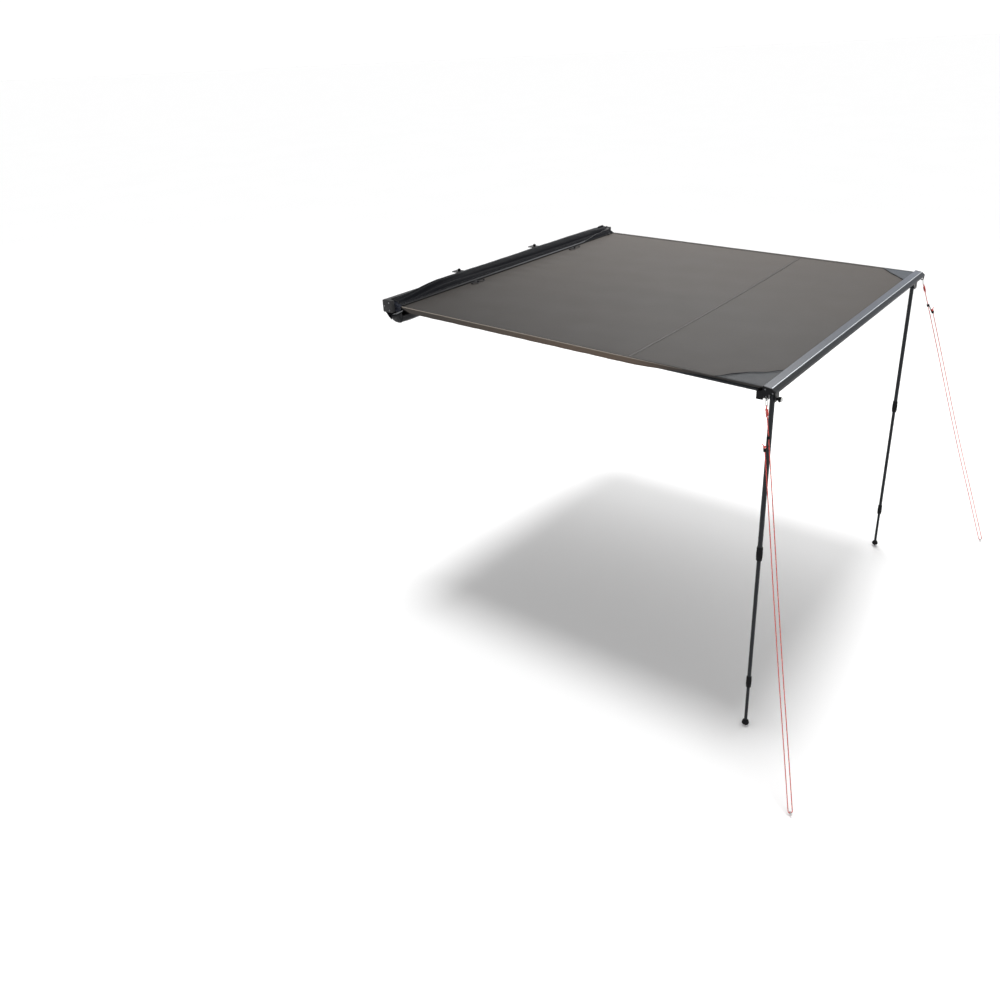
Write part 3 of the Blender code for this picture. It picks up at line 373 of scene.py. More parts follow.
class Finish:
    """A procedural material on one Principled shader."""

    def __init__(self, name, colour, roughness, metallic=0.0, laid=False, **fixed):
        self.material = bpy.data.materials.new(name)
        self.material.use_nodes = True
        self.tree = self.material.node_tree
        self.shader = self.tree.nodes["Principled BSDF"]
        self.base = (*colour, 1.0)
        self.set("Base Color", self.base)
        self.set("Roughness", roughness)
        self.set("Metallic", metallic)
        for socket, value in fixed.items():
            self.set(socket.replace("_", " ").title().replace("Ior", "IOR"), value)
        if laid:
            self.place = self.node("ShaderNodeAttribute", {"attribute_name": "laid"}, {}, "Vector")
        else:
            self.place = self.node("ShaderNodeTexCoord", {}, {}, "Object")
        self.parts = {}

    def node(self, kind, settings, sockets, output=0):
        """A node of a kind with its settings and the values or links of its sockets."""
        node = self.tree.nodes.new(kind)
        for setting, value in settings.items():
            if setting == "stops":
                self.fill_ramp(node.color_ramp, value)
            else:
                setattr(node, setting, value)
        for socket, value in sockets.items():
            if isinstance(value, Signal):
                self.tree.links.new(value.socket, node.inputs[socket])
            else:
                node.inputs[socket].default_value = value
        return Signal(self, node.outputs[output])

    def fill_ramp(self, ramp, stops):
        while len(ramp.elements) < len(stops):
            ramp.elements.new(0.5)
        for element, (place, level) in zip(ramp.elements, stops):
            element.position = place
            element.color = (level, level, level, 1.0)

    def set(self, socket, value):
        if isinstance(value, Signal):
            self.tree.links.new(value.socket, self.shader.inputs[socket])
        else:
            self.shader.inputs[socket].default_value = value

    def axis(self, name):
        """One coordinate of the place on the piece, in metres."""
        if not self.parts:
            node = self.tree.nodes.new("ShaderNodeSeparateXYZ")
            self.tree.links.new(self.place.socket, node.inputs[0])
            self.parts = {axis: Signal(self, node.outputs[index]) for index, axis in enumerate("xyz")}
        return self.parts[name]

    def noise(self, scale, detail=2.0, stretch=None, roughness=0.5):
        place = self.place
        if stretch:
            place = self.node(
                "ShaderNodeVectorMath", {"operation": "MULTIPLY"}, {0: place, 1: stretch}, "Vector"
            )
        sockets = {"Vector": place, "Scale": scale, "Detail": detail, "Roughness": roughness}
        return self.node("ShaderNodeTexNoise", {}, sockets, 0)

    def tint(self, factor, low, high):
        """A mix of two shades of the base colour, each given as a factor of it."""
        shades = [(*(channel * share for channel in self.base[:3]), 1.0) for share in (low, high)]
        return self.mix(factor, *shades)

    def mix(self, factor, first, second):
        return self.node(
            "ShaderNodeMix", {"data_type": "RGBA"}, {0: factor, 6: first, 7: second}, 2
        )

    def bump(self, height, distance, strength=1.0, under=None):
        sockets = {"Height": height, "Distance": distance, "Strength": strength}
        if under:
            sockets["Normal"] = under
        return self.node("ShaderNodeBump", {}, sockets)


def smooth_step(low, high, value):
    """0 up to the low value and 1 from the high one, with a smooth change between them."""
    share = max(0.0, min(1.0, (value - low) / (high - low)))
    return share * share * (3 - 2 * share)


def bell(value, centre, width):
    """1 at the centre, falling smoothly to 0 on both sides."""
    return math.exp(-(((value - centre) / width) ** 2))


def even_steps(low, high, count):
    return [low + (high - low) * step / count for step in range(count + 1)]


finishes = {}


def weave(finish, pitch, along="x", across="y"):
    """The height of a plain weave, with one thread over and one under."""
    turns = TURN / (2 * pitch)
    warp = (finish.axis(along) * turns).sine()
    weft = (finish.axis(across) * turns).sine()
    return warp * weft * 0.5 + 0.5


def canopy_cloth():
    colours = bpy.context.scene.awning_colours
    finish = Finish("canopy_cloth", colours.canopy, 0.60, laid=True, specular_ior_level=0.20)
    threads = weave(finish, CANOPY_THREAD)
    slubs = finish.noise(260.0, 3.0, (1.0, 0.12, 1.0))
    # Broad soft patches of painted shade for the shading of the cloth's shallow sag folds; the same noise
    # also varies the roughness.
    broad_painted_shade = finish.noise(1.3, 1.0, (1.0, 0.75, 1.0))
    handled = finish.noise(7.0, 4.0)
    # Lighter toward the far end and darker toward the near end: a painted light gradient.
    painted_light_gradient = finish.axis("x") * 0.38
    shade = broad_painted_shade * 0.62 + handled * 0.14 + slubs * 0.12 + threads * 0.12 + painted_light_gradient
    finish.set("Base Color", finish.tint(shade, 0.50, 1.42))
    finish.set("Roughness", broad_painted_shade * 0.10 + handled * 0.08 + 0.50)
    height = threads * 0.7 + slubs * 0.5
    finish.set("Normal", finish.bump(height, 0.00012, 0.55))
    return finish.material


def sewn_wear(finish, rough):
    """Give sewn cloth its roughness and its puckered relief. Its wear is left for its shade."""
    threads = weave(finish, CANOPY_THREAD, "y", "z")
    wear = finish.noise(38.0, 4.0)
    pucker = finish.noise(90.0, 2.0, (1.0, 0.35, 1.0))
    finish.set("Roughness", wear * 0.14 + (rough - 0.07))
    finish.set("Normal", finish.bump(threads * 0.3 + pucker, 0.0005, 0.6))
    return wear * 0.6 + pucker * 0.4


def band_cloth(name, colour, shade_low=0.82, shade_high=1.15, rough=0.66):
    """The same cloth where it is sewn double."""
    finish = Finish(name, colour, rough, laid=True, specular_ior_level=0.22, sheen_weight=0.03)
    finish.set("Base Color", finish.tint(sewn_wear(finish, rough), shade_low, shade_high))
    return finish.material


def hem_cloth():
    """The hem's band: the canopy's own shade by the bag, browner further out, dark by the rail."""
    colours = bpy.context.scene.awning_colours
    finish = Finish("hem_cloth", colours.canopy, 0.66, laid=True, specular_ior_level=0.22)
    shade = finish.tint(sewn_wear(finish, 0.66), 0.95, 1.35)
    out = finish.noise(2.0, 1.0) * 0.25 - finish.axis("y")
    browned = finish.node("ShaderNodeMapRange", {}, {"Value": out, "From Min": 0.45, "From Max": 1.25})
    darkened = finish.node("ShaderNodeMapRange", {}, {"Value": out, "From Min": 1.55, "From Max": 1.85})
    brown = finish.mix(browned, shade, (0.105, 0.078, 0.060, 1.0))
    finish.set("Base Color", finish.mix(darkened, brown, (0.024, 0.022, 0.021, 1.0)))
    return finish.material


def patch_cloth():
    colours = bpy.context.scene.awning_colours
    finish = Finish("patch_cloth", colours.patch, 0.55, laid=True, specular_ior_level=0.25, sheen_weight=0.03)
    threads = weave(finish, PATCH_THREAD)
    worn = finish.noise(22.0, 4.0)
    # The term along x darkens the near patch and lightens the far one: a painted light gradient.
    shade = worn * 0.6 + threads * 0.4 + finish.axis("x") * 0.45
    finish.set("Base Color", finish.tint(shade, 0.45, 1.75))
    finish.set("Roughness", worn * 0.18 + 0.46)
    finish.set("Normal", finish.bump(threads, 0.0003, 0.7))
    return finish.material


def bag_cloth():
    colours = bpy.context.scene.awning_colours
    finish = Finish("bag_cloth", colours.bag, 0.44, specular_ior_level=0.03)
    threads = weave(finish, BAG_THREAD)
    scuffs = finish.noise(14.0, 5.0, (0.35, 1.0, 1.0))
    dust = finish.noise(55.0, 3.0)
    finish.set("Base Color", finish.tint(scuffs * 0.55 + dust * 0.25 + threads * 0.2, 0.65, 1.55))
    finish.set("Roughness", scuffs * 0.22 + 0.36)
    creases = finish.noise(42.0, 3.0, (0.30, 1.0, 1.0))
    finish.set("Normal", finish.bump(creases, 0.0022, 0.5, finish.bump(threads, 0.0003, 0.7)))
    return finish.material


def glossy_bag_cloth():
    colours = bpy.context.scene.awning_colours
    finish = Finish("glossy_bag_cloth", colours.bag, 0.34, specular_ior_level=0.14)
    folds = finish.noise(16.0, 4.0, (0.45, 1.0, 1.0))
    smears = finish.noise(48.0, 4.0)
    finish.set("Base Color", finish.tint(smears, 0.7, 1.4))
    finish.set("Roughness", smears * 0.22 + 0.24)
    finish.set("Normal", finish.bump(folds, 0.006, 0.55))
    return finish.material


def crumpled_cloth():
    """The bag's blue-black lining, which shows where the ends are tucked in."""
    finish = Finish("bag_lining", (0.014, 0.016, 0.024), 0.50, specular_ior_level=0.10)
    creases = finish.noise(110.0, 4.0)
    finish.set("Base Color", finish.tint(creases, 0.35, 1.65))
    finish.set("Roughness", creases * 0.2 + 0.38)
    finish.set("Normal", finish.bump(creases, 0.0040, 0.8))
    return finish.material


def zip_tape_cloth():
    """The zip's tape: pale over its far half, darker toward the near end as painted shade with some wear, and
    dark where it climbs.
    """
    colours = bpy.context.scene.awning_colours
    finish = Finish("zip_tape", colours.zip_tape, 0.68, specular_ior_level=0.15)
    ribs = (finish.axis("x") * (TURN / ZIP_RIB)).sine() * 0.5 + 0.5
    fuzz = finish.noise(700.0, 2.0)
    worn = finish.noise(9.0, 3.0)
    # Darker toward the near end: painted shade, broken up a little by wear.
    painted_shade_ramp = {"Value": finish.axis("x") + worn * 0.25, "From Min": -0.72, "From Max": 0.40, "To Min": 0.08}
    wear_and_painted_shade = finish.node("ShaderNodeMapRange", {}, painted_shade_ramp)
    climbs = finish.axis("x") > 0.66
    shade = wear_and_painted_shade * (1 - climbs * 0.90) * (ribs * 0.25 + fuzz * 0.25 + 0.62)
    finish.set("Base Color", finish.tint(shade, 0.03, 1.15))
    finish.set("Normal", finish.bump(ribs * 0.7 + fuzz * 0.3, 0.0004, 0.8))
    return finish.material


def webbing(name, colour, rib=BAND_RIB):
    """Narrow woven band, with its ribs across it."""
    finish = Finish(name, colour, 0.68, specular_ior_level=0.2, sheen_weight=0.05, sheen_roughness=0.5)
    ribs = (finish.axis("x") * (TURN / rib)).sine() * 0.5 + 0.5
    fuzz = finish.noise(700.0, 2.0)
    finish.set("Base Color", finish.tint(ribs * 0.5 + fuzz * 0.5, 0.72, 1.28))
    finish.set("Roughness", fuzz * 0.16 + 0.60)
    finish.set("Normal", finish.bump(ribs * 0.7 + fuzz * 0.3, 0.0004, 0.8))
    return finish.material


def thread_cloth(name, colour):
    finish = Finish(name, colour, 0.60, sheen_weight=0.2, sheen_roughness=0.4)
    twist = finish.noise(1400.0, 1.0)
    finish.set("Base Color", finish.tint(twist, 0.75, 1.25))
    return finish.material


def powder_coat(name, colour, roughness, metallic=0.35, grain=1500.0):
    """Baked paint with its fine orange peel and a few rub marks."""
    finish = Finish(name, colour, roughness, metallic, specular_ior_level=0.3)
    peel = finish.noise(grain, 2.0)
    rubbed = finish.noise(17.0, 6.0, (0.5, 1.0, 1.0), 0.62)
    streaks = finish.noise(60.0, 4.0, (0.06, 1.0, 1.0))
    finish.set("Base Color", finish.tint(peel * 0.35 + rubbed * 0.45 + streaks * 0.2, 0.80, 1.22))
    finish.set("Roughness", rubbed * 0.18 + streaks * 0.08 + (roughness - 0.13))
    finish.set("Normal", finish.bump(peel, 0.00007, 0.55))
    return finish.material


def rail_coat():
    """The rail's paint: satin behind the ridge, and a sand texture in front of it, painted dark there as
    painted shade on the front face; both lighter toward the far end as a painted light gradient.
    """
    colours = bpy.context.scene.awning_colours
    finish = Finish("rail_coat", colours.rail, 0.36, 0.25, specular_ior_level=0.4)
    behind = finish.axis("y") > RAIL_INNER - RIDGE_PLACE
    peel = finish.noise(1500.0, 2.0)
    rubbed = finish.noise(17.0, 6.0, (0.3, 1.0, 1.0), 0.62)
    lines = finish.noise(210.0, 3.0, (0.01, 1.0, 1.0))
    # The term along x is a painted light gradient, darker at the near end and lighter at the far end.
    shade = peel * 0.25 + rubbed * 0.40 + lines * 0.35 + finish.axis("x") * 0.42
    behind_paint_with_light = finish.tint(shade, 0.45, 1.50)
    # The dark tone in front of the ridge is painted shade on the front face.
    front_painted_shade = finish.tint(shade, 0.08, 0.42)
    finish.set("Base Color", finish.mix(behind, front_painted_shade, behind_paint_with_light))
    finish.set("Roughness", rubbed * 0.18 + (1 - behind) * 0.16 + 0.26)
    finish.set("Normal", finish.bump(peel, 0.00010, 0.6))
    return finish.material


def drawn_metal(name, colour, roughness, metallic=1.0, grain=(0.02, 1.0, 1.0)):
    """Extruded or drawn metal, with its faint lines along its length."""
    finish = Finish(name, colour, roughness, metallic)
    lines = finish.noise(1800.0, 3.0, grain)
    tarnish = finish.noise(24.0, 5.0)
    finish.set("Base Color", finish.tint(lines * 0.4 + tarnish * 0.6, 0.74, 1.20))
    finish.set("Roughness", tarnish * 0.20 + (roughness - 0.10))
    finish.set("Normal", finish.bump(lines, 0.00005, 0.5))
    return finish.material


def moulded_plastic(name, colour, roughness, speckle=900.0):
    """Moulded nylon with a fine spark texture."""
    finish = Finish(name, colour, roughness, specular_ior_level=0.08)
    texture = finish.noise(speckle, 3.0)
    rubbed = finish.noise(30.0, 5.0)
    finish.set("Base Color", finish.tint(rubbed * 0.7 + texture * 0.3, 0.70, 1.40))
    finish.set("Roughness", rubbed * 0.16 + texture * 0.06 + (roughness - 0.11))
    finish.set("Normal", finish.bump(texture, 0.00016, 0.6))
    return finish.material


def rope_sheath():
    """A braided sheath with dark flecks, marked round and along the rope."""
    colours = bpy.context.scene.awning_colours
    finish = Finish("rope_sheath", colours.rope, 0.62, laid=True, sheen_weight=0.35, sheen_roughness=0.4)
    around = finish.axis("x")
    along = finish.axis("y")
    left = (around * (TURN * 4) + along * (TURN / BRAID_PITCH)).sine()
    right = (around * (TURN * 4) - along * (TURN / BRAID_PITCH)).sine()
    fleck = (around * TURN + along * (TURN / FLECK_PITCH)).sine()
    fleck_back = (around * TURN - along * (TURN / FLECK_PITCH)).sine()
    dark = ((fleck > 0.80) + (fleck_back > 0.86)).at_most(1.0)
    strands = (left * right) * 0.5 + 0.5
    red = finish.tint(strands, 0.72, 1.18)
    finish.set("Base Color", finish.mix(dark * 0.88, red, (0.055, 0.008, 0.010, 1.0)))
    finish.set("Normal", finish.bump(strands, 0.0004, 0.7))
    return finish.material


def studio_floor():
    colours = bpy.context.scene.awning_colours
    finish = Finish("studio_floor", colours.floor, 0.85, specular_ior_level=0.1)
    finish.set("Base Color", finish.tint(finish.noise(0.7, 2.0), 0.99, 1.01))
    return finish.material


def make_finishes():
    """Every finish of the object, made once and kept by name."""
    colours = bpy.context.scene.awning_colours
    finishes["canopy"] = canopy_cloth()
    finishes["hem"] = hem_cloth()
    # The near edge fold's light colour is a painted highlight.
    finishes["edge fold highlight"] = band_cloth("edge_fold_painted_highlight", colours.edge_fold_and_highlight, 0.86, 1.10, 0.6)
    finishes["dark hem"] = band_cloth("dark_hem_cloth", (0.040, 0.037, 0.034))
    seam = [channel * 1.02 for channel in colours.canopy]
    finishes["seam"] = band_cloth("seam_cloth", seam, 0.80, 1.2, 0.5)
    finishes["seam thread"] = thread_cloth("seam_thread", [channel * 0.42 for channel in colours.canopy])
    finishes["patch"] = patch_cloth()
    # The dark fold along each patch's long edge: partly the fold's own tone, partly a painted shadow of the
    # lifted edge.
    finishes["patch shadow edge"] = band_cloth("patch_edge_painted_shadow", (0.014, 0.015, 0.018), 0.7, 1.3)
    finishes["bag"] = bag_cloth()
    finishes["glossy bag"] = glossy_bag_cloth()
    finishes["lining"] = crumpled_cloth()
    # The fold atop each flap end: its light grey is a painted highlight.
    finishes["lit fold"] = band_cloth("lit_fold_cloth", (0.20, 0.205, 0.215), 0.55, 1.35, 0.42)
    finishes["zip tape"] = zip_tape_cloth()
    finishes["zip teeth"] = moulded_plastic("zip_teeth", (0.030, 0.031, 0.033), 0.40)
    finishes["black band"] = webbing("black_band", (0.014, 0.014, 0.016))
    finishes["piping"] = webbing("light_piping", (0.42, 0.43, 0.44), PIPING_RIB)
    finishes["grey piping"] = webbing("grey_piping", (0.085, 0.086, 0.088), PIPING_RIB)
    finishes["dark thread"] = thread_cloth("dark_thread", (0.020, 0.018, 0.017))
    finishes["grey thread"] = thread_cloth("grey_thread", (0.045, 0.045, 0.048))
    finishes["pale thread"] = thread_cloth("pale_thread", (0.40, 0.41, 0.42))
    finishes["rail"] = rail_coat()
    # A light strip along the rail's ridge: a painted highlight.
    finishes["ridge"] = drawn_metal("rail_ridge_painted_highlight", (0.66, 0.69, 0.73), 0.34, 0.7)
    finishes["tube"] = powder_coat("tube_coat", colours.tube, 0.34, 0.3)
    finishes["bracket"] = powder_coat("bracket_coat", (0.008, 0.008, 0.009), 0.46, 0.2, 1100.0)
    finishes["plate"] = drawn_metal("plate_anodised", (0.018, 0.019, 0.022), 0.50, 0.6)
    finishes["plastic"] = moulded_plastic("moulded_black", (0.008, 0.008, 0.009), 0.50)
    finishes["grey plastic"] = moulded_plastic("moulded_charcoal", (0.036, 0.036, 0.037), 0.52)
    finishes["rubber"] = moulded_plastic("black_rubber", (0.012, 0.012, 0.012), 0.75, 500.0)
    finishes["steel"] = drawn_metal("bright_wire", (0.62, 0.62, 0.61), 0.30, 1.0, (1.0, 1.0, 0.04))
    finishes["zinc"] = drawn_metal("dark_zinc", (0.20, 0.20, 0.21), 0.38, 1.0, (1.0, 1.0, 0.1))
    finishes["rope"] = rope_sheath()


def mesh_piece(name, points, faces, finish, smooth=True, laid=None):
    """A mesh object at the origin. laid gives each point's place on the flat cloth or rope."""
    mesh = bpy.data.meshes.new(name)
    mesh.from_pydata([tuple(point) for point in points], [], faces)
    mesh.validate()
    attribute = mesh.attributes.new("laid", "FLOAT_VECTOR", "POINT")
    flat = [value for point in (laid or points) for value in point]
    attribute.data.foreach_set("vector", flat)
    obj = bpy.data.objects.new(name, mesh)
    bpy.context.scene.collection.objects.link(obj)
    obj.data.materials.append(finishes[finish])
    if smooth:
        mesh.shade_smooth()
        mesh.set_sharp_from_angle(angle=math.radians(CLOTH_EDGE_ANGLE))
    return obj


def grid_faces(rows, columns, wrap=False):
    """The faces between rows of points, which close round into a tube when they wrap."""
    faces = []
    span = columns if wrap else columns - 1
    for row in range(rows - 1):
        for column in range(span):
            after = (column + 1) % columns
            low = row * columns
            high = low + columns
            faces.append((low + column, high + column, high + after, low + after))
    return faces


def closed_faces(rings, sides):
    """The faces of a tube over rings of points, with a face over each of its ends."""
    last = (rings - 1) * sides
    faces = [tuple(reversed(face)) for face in grid_faces(rings, sides, wrap=True)]
    faces.append(tuple(reversed(range(sides))))
    faces.append(tuple(range(last, last + sides)))
    return faces


def cloth_piece(name, rows, finish, thickness, offset=-1.0):
    """A sheet of cloth over rows of points, with its thickness to one side."""
    points = [point for row in rows for point in row]
    obj = mesh_piece(name, points, grid_faces(len(rows), len(rows[0])), finish)
    thicken(obj, thickness, offset)
    return obj


def facing_out(row, side):
    """A row or a face as it is on the far side, and turned round on the near side."""
    return row if side > 0 else list(reversed(row))


def thicken(obj, thickness, offset):
    skin = obj.modifiers.new("thickness", "SOLIDIFY")
    skin.thickness = thickness
    skin.offset = offset
    skin.use_rim = True


def frames_along(path):
    """The direction and two cross directions at each point of a path, with no twist between them."""
    result = []
    first = (path[1] - path[0]).normalized()
    side = first.orthogonal().normalized()
    for index in range(len(path)):
        before = path[max(0, index - 1)]
        after = path[min(len(path) - 1, index + 1)]
        direction = (after - before).normalized()
        side = (side - direction * side.dot(direction)).normalized()
        result.append((direction, side, direction.cross(side)))
    return result


def tube_piece(name, path, radius, finish, sides=8):
    """A tube along a path. radius is a number or a function of the length so far and the share
    round the tube, which are also the tube's laid places."""
    path = [Vector(point) for point in path]
    points = []
    laid = []
    along = 0.0
    for index, (_, side, other) in enumerate(frames_along(path)):
        if index:
            along += (path[index] - path[index - 1]).length
        for step in range(sides):
            share = step / sides
            size = radius(along, share) if callable(radius) else radius
            angle = TURN * share
            points.append(path[index] + (side * math.cos(angle) + other * math.sin(angle)) * size)
            laid.append((share, along, 0.0))
    return mesh_piece(name, points, closed_faces(len(path), sides), finish, True, laid)


class Pile:
    """Many small like shapes gathered into one mesh."""

    def __init__(self):
        self.points = []
        self.faces = []

    def add(self, points, faces):
        start = len(self.points)
        self.points += points
        self.faces += [tuple(start + index for index in face) for face in faces]

    def add_round(self, place, direction, profile, sides=20):
        """A turned shape whose profile holds radius and height pairs, from its foot to its top."""
        direction = Vector(direction).normalized()
        side = direction.orthogonal().normalized()
        other = direction.cross(side)
        points = []
        for radius, height in profile:
            for step in range(sides):
                angle = TURN * step / sides
                across = side * math.cos(angle) + other * math.sin(angle)
                points.append(Vector(place) + direction * height + across * radius)
        self.add(points, closed_faces(len(profile), sides))

    def add_ring(self, place, direction, radius, thickness, sides=32, parts=8):
        """A round ring about a direction, open in its middle."""
        side = direction.orthogonal().normalized()
        other = direction.cross(side)
        points = []
        faces = []
        for step in range(sides):
            turned = TURN * step / sides
            out = side * math.cos(turned) + other * math.sin(turned)
            after = (step + 1) % sides * parts
            for part in range(parts):
                angle = TURN * part / parts
                rim = out * (radius + thickness * math.cos(angle))
                points.append(place + rim + direction * thickness * math.sin(angle))
                beside = (part + 1) % parts
                faces.append((step * parts + part, after + part, after + beside, step * parts + beside))
        self.add(points, faces)

    def add_stitch(self, start, end, up, radius):
        """One stitch: a short thread that rises out of the cloth and dips back."""
        run = (end - start).normalized()
        across = run.cross(up).normalized()
        points = []
        for share, size in STITCH_SHAPE:
            centre = start.lerp(end, share) + up * radius * (0.15 if size < 1 else 0.75)
            for step in range(STITCH_SIDES):
                angle = TURN * step / STITCH_SIDES
                points.append(centre + (across * math.cos(angle) + up * math.sin(angle)) * radius * size)
        self.add(points, closed_faces(len(STITCH_SHAPE), STITCH_SIDES))

    def piece(self, name, finish, smooth=True):
        return mesh_piece(name, self.points, self.faces, finish, smooth)


def stitch_row(pile, path, up, radius=THREAD_RADIUS, length=STITCH_LENGTH, gap=STITCH_GAP):
    """Stitches along a path, with a gap between each and the next."""
    start = None
    for before, after in zip(path, path[1:]):
        span = (after - before).length
        if span < 1e-9:
            continue
        place = 0.0
        while place < span:
            point = before.lerp(after, place / span)
            if start is None:
                start = point
                step = length
            else:
                pile.add_stitch(start, point, up, radius)
                start = None
                step = gap
            place += step


def webbing_loop(name, path, up, finish):
    """A closed band of webbing along a path, lying flat to one direction."""
    section = ((-0.5, 0.25), (-0.36, 0.5), (0.36, 0.5), (0.5, 0.25), (0.5, -0.25), (-0.5, -0.25))
    points = []
    count = len(path)
    for index, point in enumerate(path):
        direction = (path[(index + 1) % count] - path[index - 1]).normalized()
        across = direction.cross(up).normalized()
        for side, rise in section:
            points.append(point + across * TIE_WIDTH * side + up * TIE_THICKNESS * rise)
    faces = []
    for index in range(count):
        after = (index + 1) % count
        for side in range(6):
            beside = (side + 1) % 6
            faces.append((index * 6 + side, index * 6 + beside, after * 6 + beside, after * 6 + side))
    return mesh_piece(name, points, faces, finish)


def box_shape(low, high):
    """The points and faces of a small box between two corners."""
    points = []
    for z in (low.z, high.z):
        points += [Vector((low.x, low.y, z)), Vector((high.x, low.y, z))]
        points += [Vector((high.x, high.y, z)), Vector((low.x, high.y, z))]
    faces = [(3, 2, 1, 0), (4, 5, 6, 7), (0, 1, 5, 4), (1, 2, 6, 5), (2, 3, 7, 6), (3, 0, 4, 7)]
    return points, faces


def smooth_path(route, each):
    """Points on a smooth curve through a route, a set number in each of its spans."""
    route = [Vector(point) for point in route]
    spans = len(route) - 1
    result = [route[0]]
    for index in range(spans):
        before = route[max(0, index - 1)]
        start, end = route[index], route[index + 1]
        after = route[min(spans, index + 2)]
        length = (end - start).length
        lead = (end - before) / ((start - before).length + length) * length
        trail = (after - start) / ((after - end).length + length) * length
        for step in range(1, each + 1):
            t = step / each
            point = start * (2 * t**3 - 3 * t**2 + 1) + lead * (t**3 - 2 * t**2 + t)
            point += end * (3 * t**2 - 2 * t**3) + trail * (t**3 - t**2)
            result.append(point)
    return result


def path_length(path):
    return sum((after - before).length for before, after in zip(path, path[1:]))


def evenly(path, step):
    """The same path with its points a set step apart."""
    result = [path[0]]
    left = step
    for before, after in zip(path, path[1:]):
        span = (after - before).length
        place = left
        while place < span:
            result.append(before.lerp(after, place / span))
            place += step
        left = place - span
    result.append(path[-1])
    return result


def belongs(piece, body):
    """Give a piece to the body that it moves with."""
    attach(piece, body)
    return piece


def on_canopy(piece):
    """Bake a piece of the canopy's place in the world into its mesh."""
    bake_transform(piece)
    return piece


def canopy_height(y):
    """The height of the stretched cloth's top at a place along its outreach, before it sags."""
    if y > COVER_FRONT:
        share = min(1.0, (y - COVER_FRONT) / (PLATE_FRONT - COVER_FRONT))
        return share * BEAD_HEIGHT
    return (max(y, RAIL_INNER) - COVER_FRONT) * CANOPY_SLOPE


def canopy_top(x, y):
    """The cloth's top, with its sag, its pull at the corners and its slight ripples."""
    sag = bpy.context.scene.awning_sizes.sag
    along = max(0.0, min(1.0, (COVER_FRONT - y) / CANOPY_OUTREACH))
    across = min(1.0, abs(x) / HALF_LENGTH)
    height = canopy_height(y) - sag * (1 - across**2) * math.sin(math.pi * along) ** 1.5
    held = math.sin(math.pi * along) ** 0.5 * (1 - across**6) if 0 < along < 1 else 0.0
    ripple = sum(rise * math.sin(turns * x + lean * along) for rise, turns, lean in RIPPLES)
    near_bag = bell(along, GATHER_PLACE, GATHER_WIDTH) * math.sin(math.pi * min(1.0, along / 0.05) / 2)
    gather = near_bag * GATHER_HEIGHT * math.sin(46.0 * x + 3.0 * math.sin(5.0 * x))
    gather *= smooth_step(1.0, 0.9, across)
    return height + held * ripple + gather - held * RIPPLE_LOWERING


def on_top(x, y, lift=0.0):
    """A point a set height above the canopy."""
    return Vector((x, y, canopy_top(x, y) + lift))


def seam_place(x):
    """Where the cross seam lies along the outreach, a little further out at the near edge."""
    return COVER_FRONT - bpy.context.scene.awning_sizes.seam_outreach + SEAM_SKEW * x


def hem_drop(y):
    """How far the side hem hangs: full over most of the outreach, and drawn up at both its ends."""
    by_rail = max(HEM_LEAST_BY_RAIL, min(1.0, (y - RAIL_INNER - HEM_DRAWN_UP_AT) / HEM_DRAWN_UP_OVER))
    free = smooth_step(COVER_FRONT, COVER_FRONT - HEM_BAG_REACH, y)
    by_bag = HEM_LEAST_BY_BAG + (1 - HEM_LEAST_BY_BAG) * free
    return bpy.context.scene.awning_sizes.hem_drop * by_rail * by_bag


